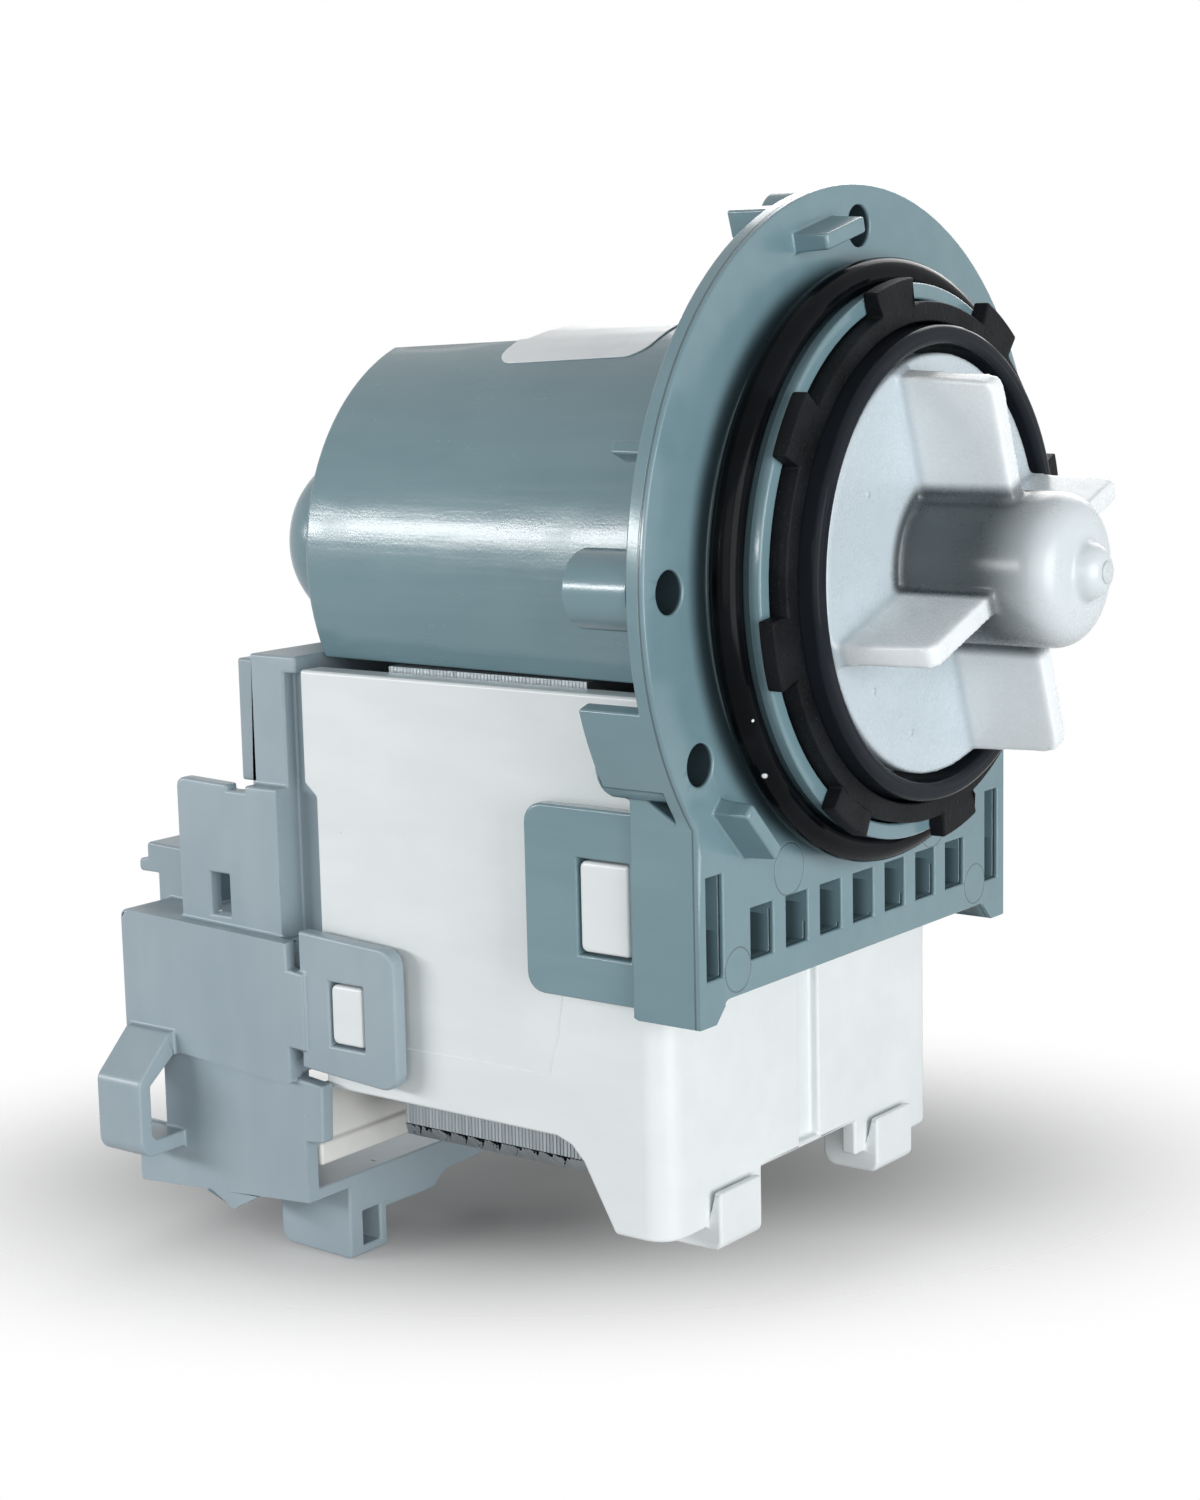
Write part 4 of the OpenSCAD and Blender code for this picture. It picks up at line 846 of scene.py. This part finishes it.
def turnSealRing(v):
    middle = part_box("o_ring")[1].z / mm - v["thick"] / 2
    bpy.ops.mesh.primitive_circle_add(
        vertices=v["around"], radius=v["thick"] / 2 * mm, location=(v["x"] * mm, middle * mm, 0)
    )
    piece = bpy.context.object
    pickUp(piece)
    bpy.ops.object.transform_apply(location=True, rotation=True, scale=True)
    for vertex in piece.data.vertices:  # the seam is a shallow flat, inside and outside
        across = (vertex.co.y / mm - middle) / (v["thick"] / 2)
        if abs(across) > 0.995:
            vertex.co.y -= math.copysign(v["seam"] * mm, across) / 2
    bpy.ops.object.mode_set(mode="EDIT")
    bpy.ops.mesh.select_all(action="SELECT")
    bpy.ops.mesh.spin(steps=v["steps"], angle=2 * math.pi, center=(0, 0, 0), axis=(1, 0, 0))
    bpy.ops.mesh.select_all(action="SELECT")
    bpy.ops.mesh.remove_doubles(threshold=0.01 * mm)
    bpy.ops.mesh.normals_make_consistent(inside=False)
    bpy.ops.object.mode_set(mode="OBJECT")
    return finishPiece(piece, "sealRing", "stator", "black_rubber", ["o_ring"], 60)


turnSealRing(sealRing)
print("seal ring turned")

# Thin raised line on the cover's side, left by the mould's insert
coverLine = {
    "run": [(-57.0, -55.6), (-23.5, -55.6), (-22.2, -51.5), (-21.4, -46.3)],  # x, z
    "side": -28.3,
    "start": 0.4,
    "width": 0.22,
    "proud": 0.07,
    "sunk": 0.2,
}


def drawCoverLine(v):
    side = max(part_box("coil_cover")[0].y / mm, v["side"])
    (x0, z0), corners = v["run"][0], v["run"][1:]
    spot = Vector((x0 + v["start"] / 2, side - v["proud"] / 2 + v["sunk"] / 2, z0))
    bpy.ops.mesh.primitive_cube_add(size=1, location=spot * mm)
    piece = bpy.context.object
    pickUp(piece)
    piece.scale = (v["start"] * mm, (v["proud"] + v["sunk"]) * mm, v["width"] * mm)
    bpy.ops.object.transform_apply(location=True, rotation=True, scale=True)
    at = Vector((x0 + v["start"], 0, z0))

    def endFace(c, n):
        near = abs(c.x - at.x) < 0.2 and abs(c.z - at.z) < 0.2
        return near and abs(n.y) < 0.5 and (n.x > 0.5 or n.z > 0.9 and c.x > -24)

    for x, z in corners:
        selectFaces(piece, endFace)
        move = (Vector((x, 0, z)) - at) * mm
        bpy.ops.mesh.extrude_region_move(TRANSFORM_OT_translate={"value": move})
        bpy.ops.object.mode_set(mode="OBJECT")
        at = Vector((x, 0, z))
    applyModifier(piece, "BEVEL", width=0.04 * mm, segments=2, limit_method="ANGLE")
    return finishPiece(piece, "coverInsertLine", "stator", "white_plastic")


drawCoverLine(coverLine)
print("cover line drawn")

# Gate mark on the impeller's nose
noseNib = {"radius": 1.25, "height": 0.32, "x": 29.93}


def roundNoseNib(v):
    bpy.ops.mesh.primitive_uv_sphere_add(segments=40, ring_count=20, radius=v["radius"] * mm)
    piece = bpy.context.object
    pickUp(piece)
    bpy.ops.object.mode_set(mode="EDIT")
    bpy.ops.mesh.select_all(action="SELECT")
    bpy.ops.mesh.bisect(
        plane_co=(0, 0, 0), plane_no=(1, 0, 0), use_fill=True, clear_inner=True,
        threshold=0.0005 * mm,  # the usual 0.1 mm doubles faces beside the cut
    )
    bpy.ops.object.mode_set(mode="OBJECT")
    piece.scale.x = v["height"] / v["radius"]
    piece.location.x = v["x"] * mm
    return finishPiece(piece, "noseNib", "impeller", "impeller_plastic", smooth=60)


roundNoseNib(noseNib)
print("nose nib rounded")


# Floor, backdrop and lights
floorLook = {
    "z": -85.6,
    "size": 1.2,
    "middle": (-0.060, 0.020, 0),
    "turn": 37.28,
    "reach": (0.115, 0.078, 1.0),  # the paper fades to the white surroundings over this oval
    # painted shadow: the paper is coloured darker towards the oval's middle under the object
    "near": (0.38, 0.38, 0.38, 1),
    "far": (0.78, 0.78, 0.78, 1),
    "solid": 0.24,
    "gone": 1.0,
}


def layFloor(v):
    bpy.ops.mesh.primitive_plane_add(size=v["size"], location=(0, 0, v["z"] * mm))
    floor = bpy.context.object
    floor.name = "floor"
    f = Finish("floorPaper")
    place = f.node("ShaderNodeTexCoord", output="Object")
    turned = (0, 0, math.radians(v["turn"]))
    oval = f.node("ShaderNodeMapping", {"vector_type": "TEXTURE"}, {
        "Vector": place, "Location": v["middle"], "Rotation": turned, "Scale": v["reach"],
    })
    away = f.node("ShaderNodeVectorMath", {"operation": "LENGTH"}, {0: oval}, 1)
    tooth = f.noise(place, 0.004, 2)
    # painted shadow: darker paper near the object, lighter farther out
    tone = f.mix(f.spread(away, 0.2, 0.9), v["near"], v["far"])
    bump = f.node("ShaderNodeBump", None, {"Strength": 0.1, "Distance": 0.0005, "Height": tooth})
    paper = f.node("ShaderNodeBsdfDiffuse", None, {"Color": tone, "Normal": bump})
    clear = f.node("ShaderNodeBsdfTransparent")
    fade = f.spread(away, v["solid"], v["gone"])
    shader = f.node("ShaderNodeMixShader", None, {0: fade, 1: paper, 2: clear})
    f.node("ShaderNodeOutputMaterial", None, {"Surface": shader})
    floor.data.materials.append(f.material)


worldLook = {"ambient": (0.97, 0.985, 1.0, 1), "sides": 0.264, "top": 0.05}


def paintWorld(v):
    world = bpy.data.worlds.new("studio")
    bpy.context.scene.world = world
    f = Finish("studio", world)
    seen = f.node("ShaderNodeLightPath")
    rays = seen.socket.node.outputs
    shown = Wire(f, rays["Is Camera Ray"])
    for ray in ("Is Glossy Ray", "Is Transmission Ray"):
        shown = shown.maths("MAXIMUM", Wire(f, rays[ray]))
    rise = f.split(f.node("ShaderNodeTexCoord", output="Generated"))[2]
    level = f.spread(rise, 0.1, 0.7, v["sides"], v["top"])
    soft = f.node("ShaderNodeBackground", None, {0: v["ambient"], 1: level})
    white = f.node("ShaderNodeBackground", None, {0: (1, 1, 1, 1), 1: 1.0})
    shader = f.node("ShaderNodeMixShader", None, {0: shown, 1: soft, 2: white})
    f.node("ShaderNodeOutputWorld", None, {"Surface": shader})


lamps = {  # place and target in mm, size in m, power in W
    "stripLeft": {
        "place": (-443, -518, 106), "target": (-48, 0, 0), "size": (0.44, 0.075), "power": 2.6,
    },
    "softFront": {
        "place": (680, -160, 30), "target": (0, 0, -10), "size": (0.5, 0.5), "power": 4.5,
    },
    "softRight": {
        "place": (330, -560, 80), "target": (0, 0, -10), "size": (0.5, 0.4), "power": 1.2,
    },
    "softBack": {
        "place": (-200, 520, 330), "target": (-20, 0, 0), "size": (0.5, 0.4), "power": 2.2,
    },
}


def hangLamp(name, v):
    data = bpy.data.lights.new(name, "AREA")
    data.shape = "RECTANGLE"
    data.size, data.size_y = v["size"]
    data.energy = v["power"]
    lamp = bpy.data.objects.new(name, data)
    bpy.context.scene.collection.objects.link(lamp)
    place = Vector(v["place"]) * mm
    lamp.location = place
    lamp.rotation_euler = (Vector(v["target"]) * mm - place).to_track_quat("-Z", "Y").to_euler()


layFloor(floorLook)
paintWorld(worldLook)
for name, values in lamps.items():
    hangLamp(name, values)
bpy.context.scene.view_settings.view_transform = "Standard"
print("floor, world and lamps set")

deselectAll()
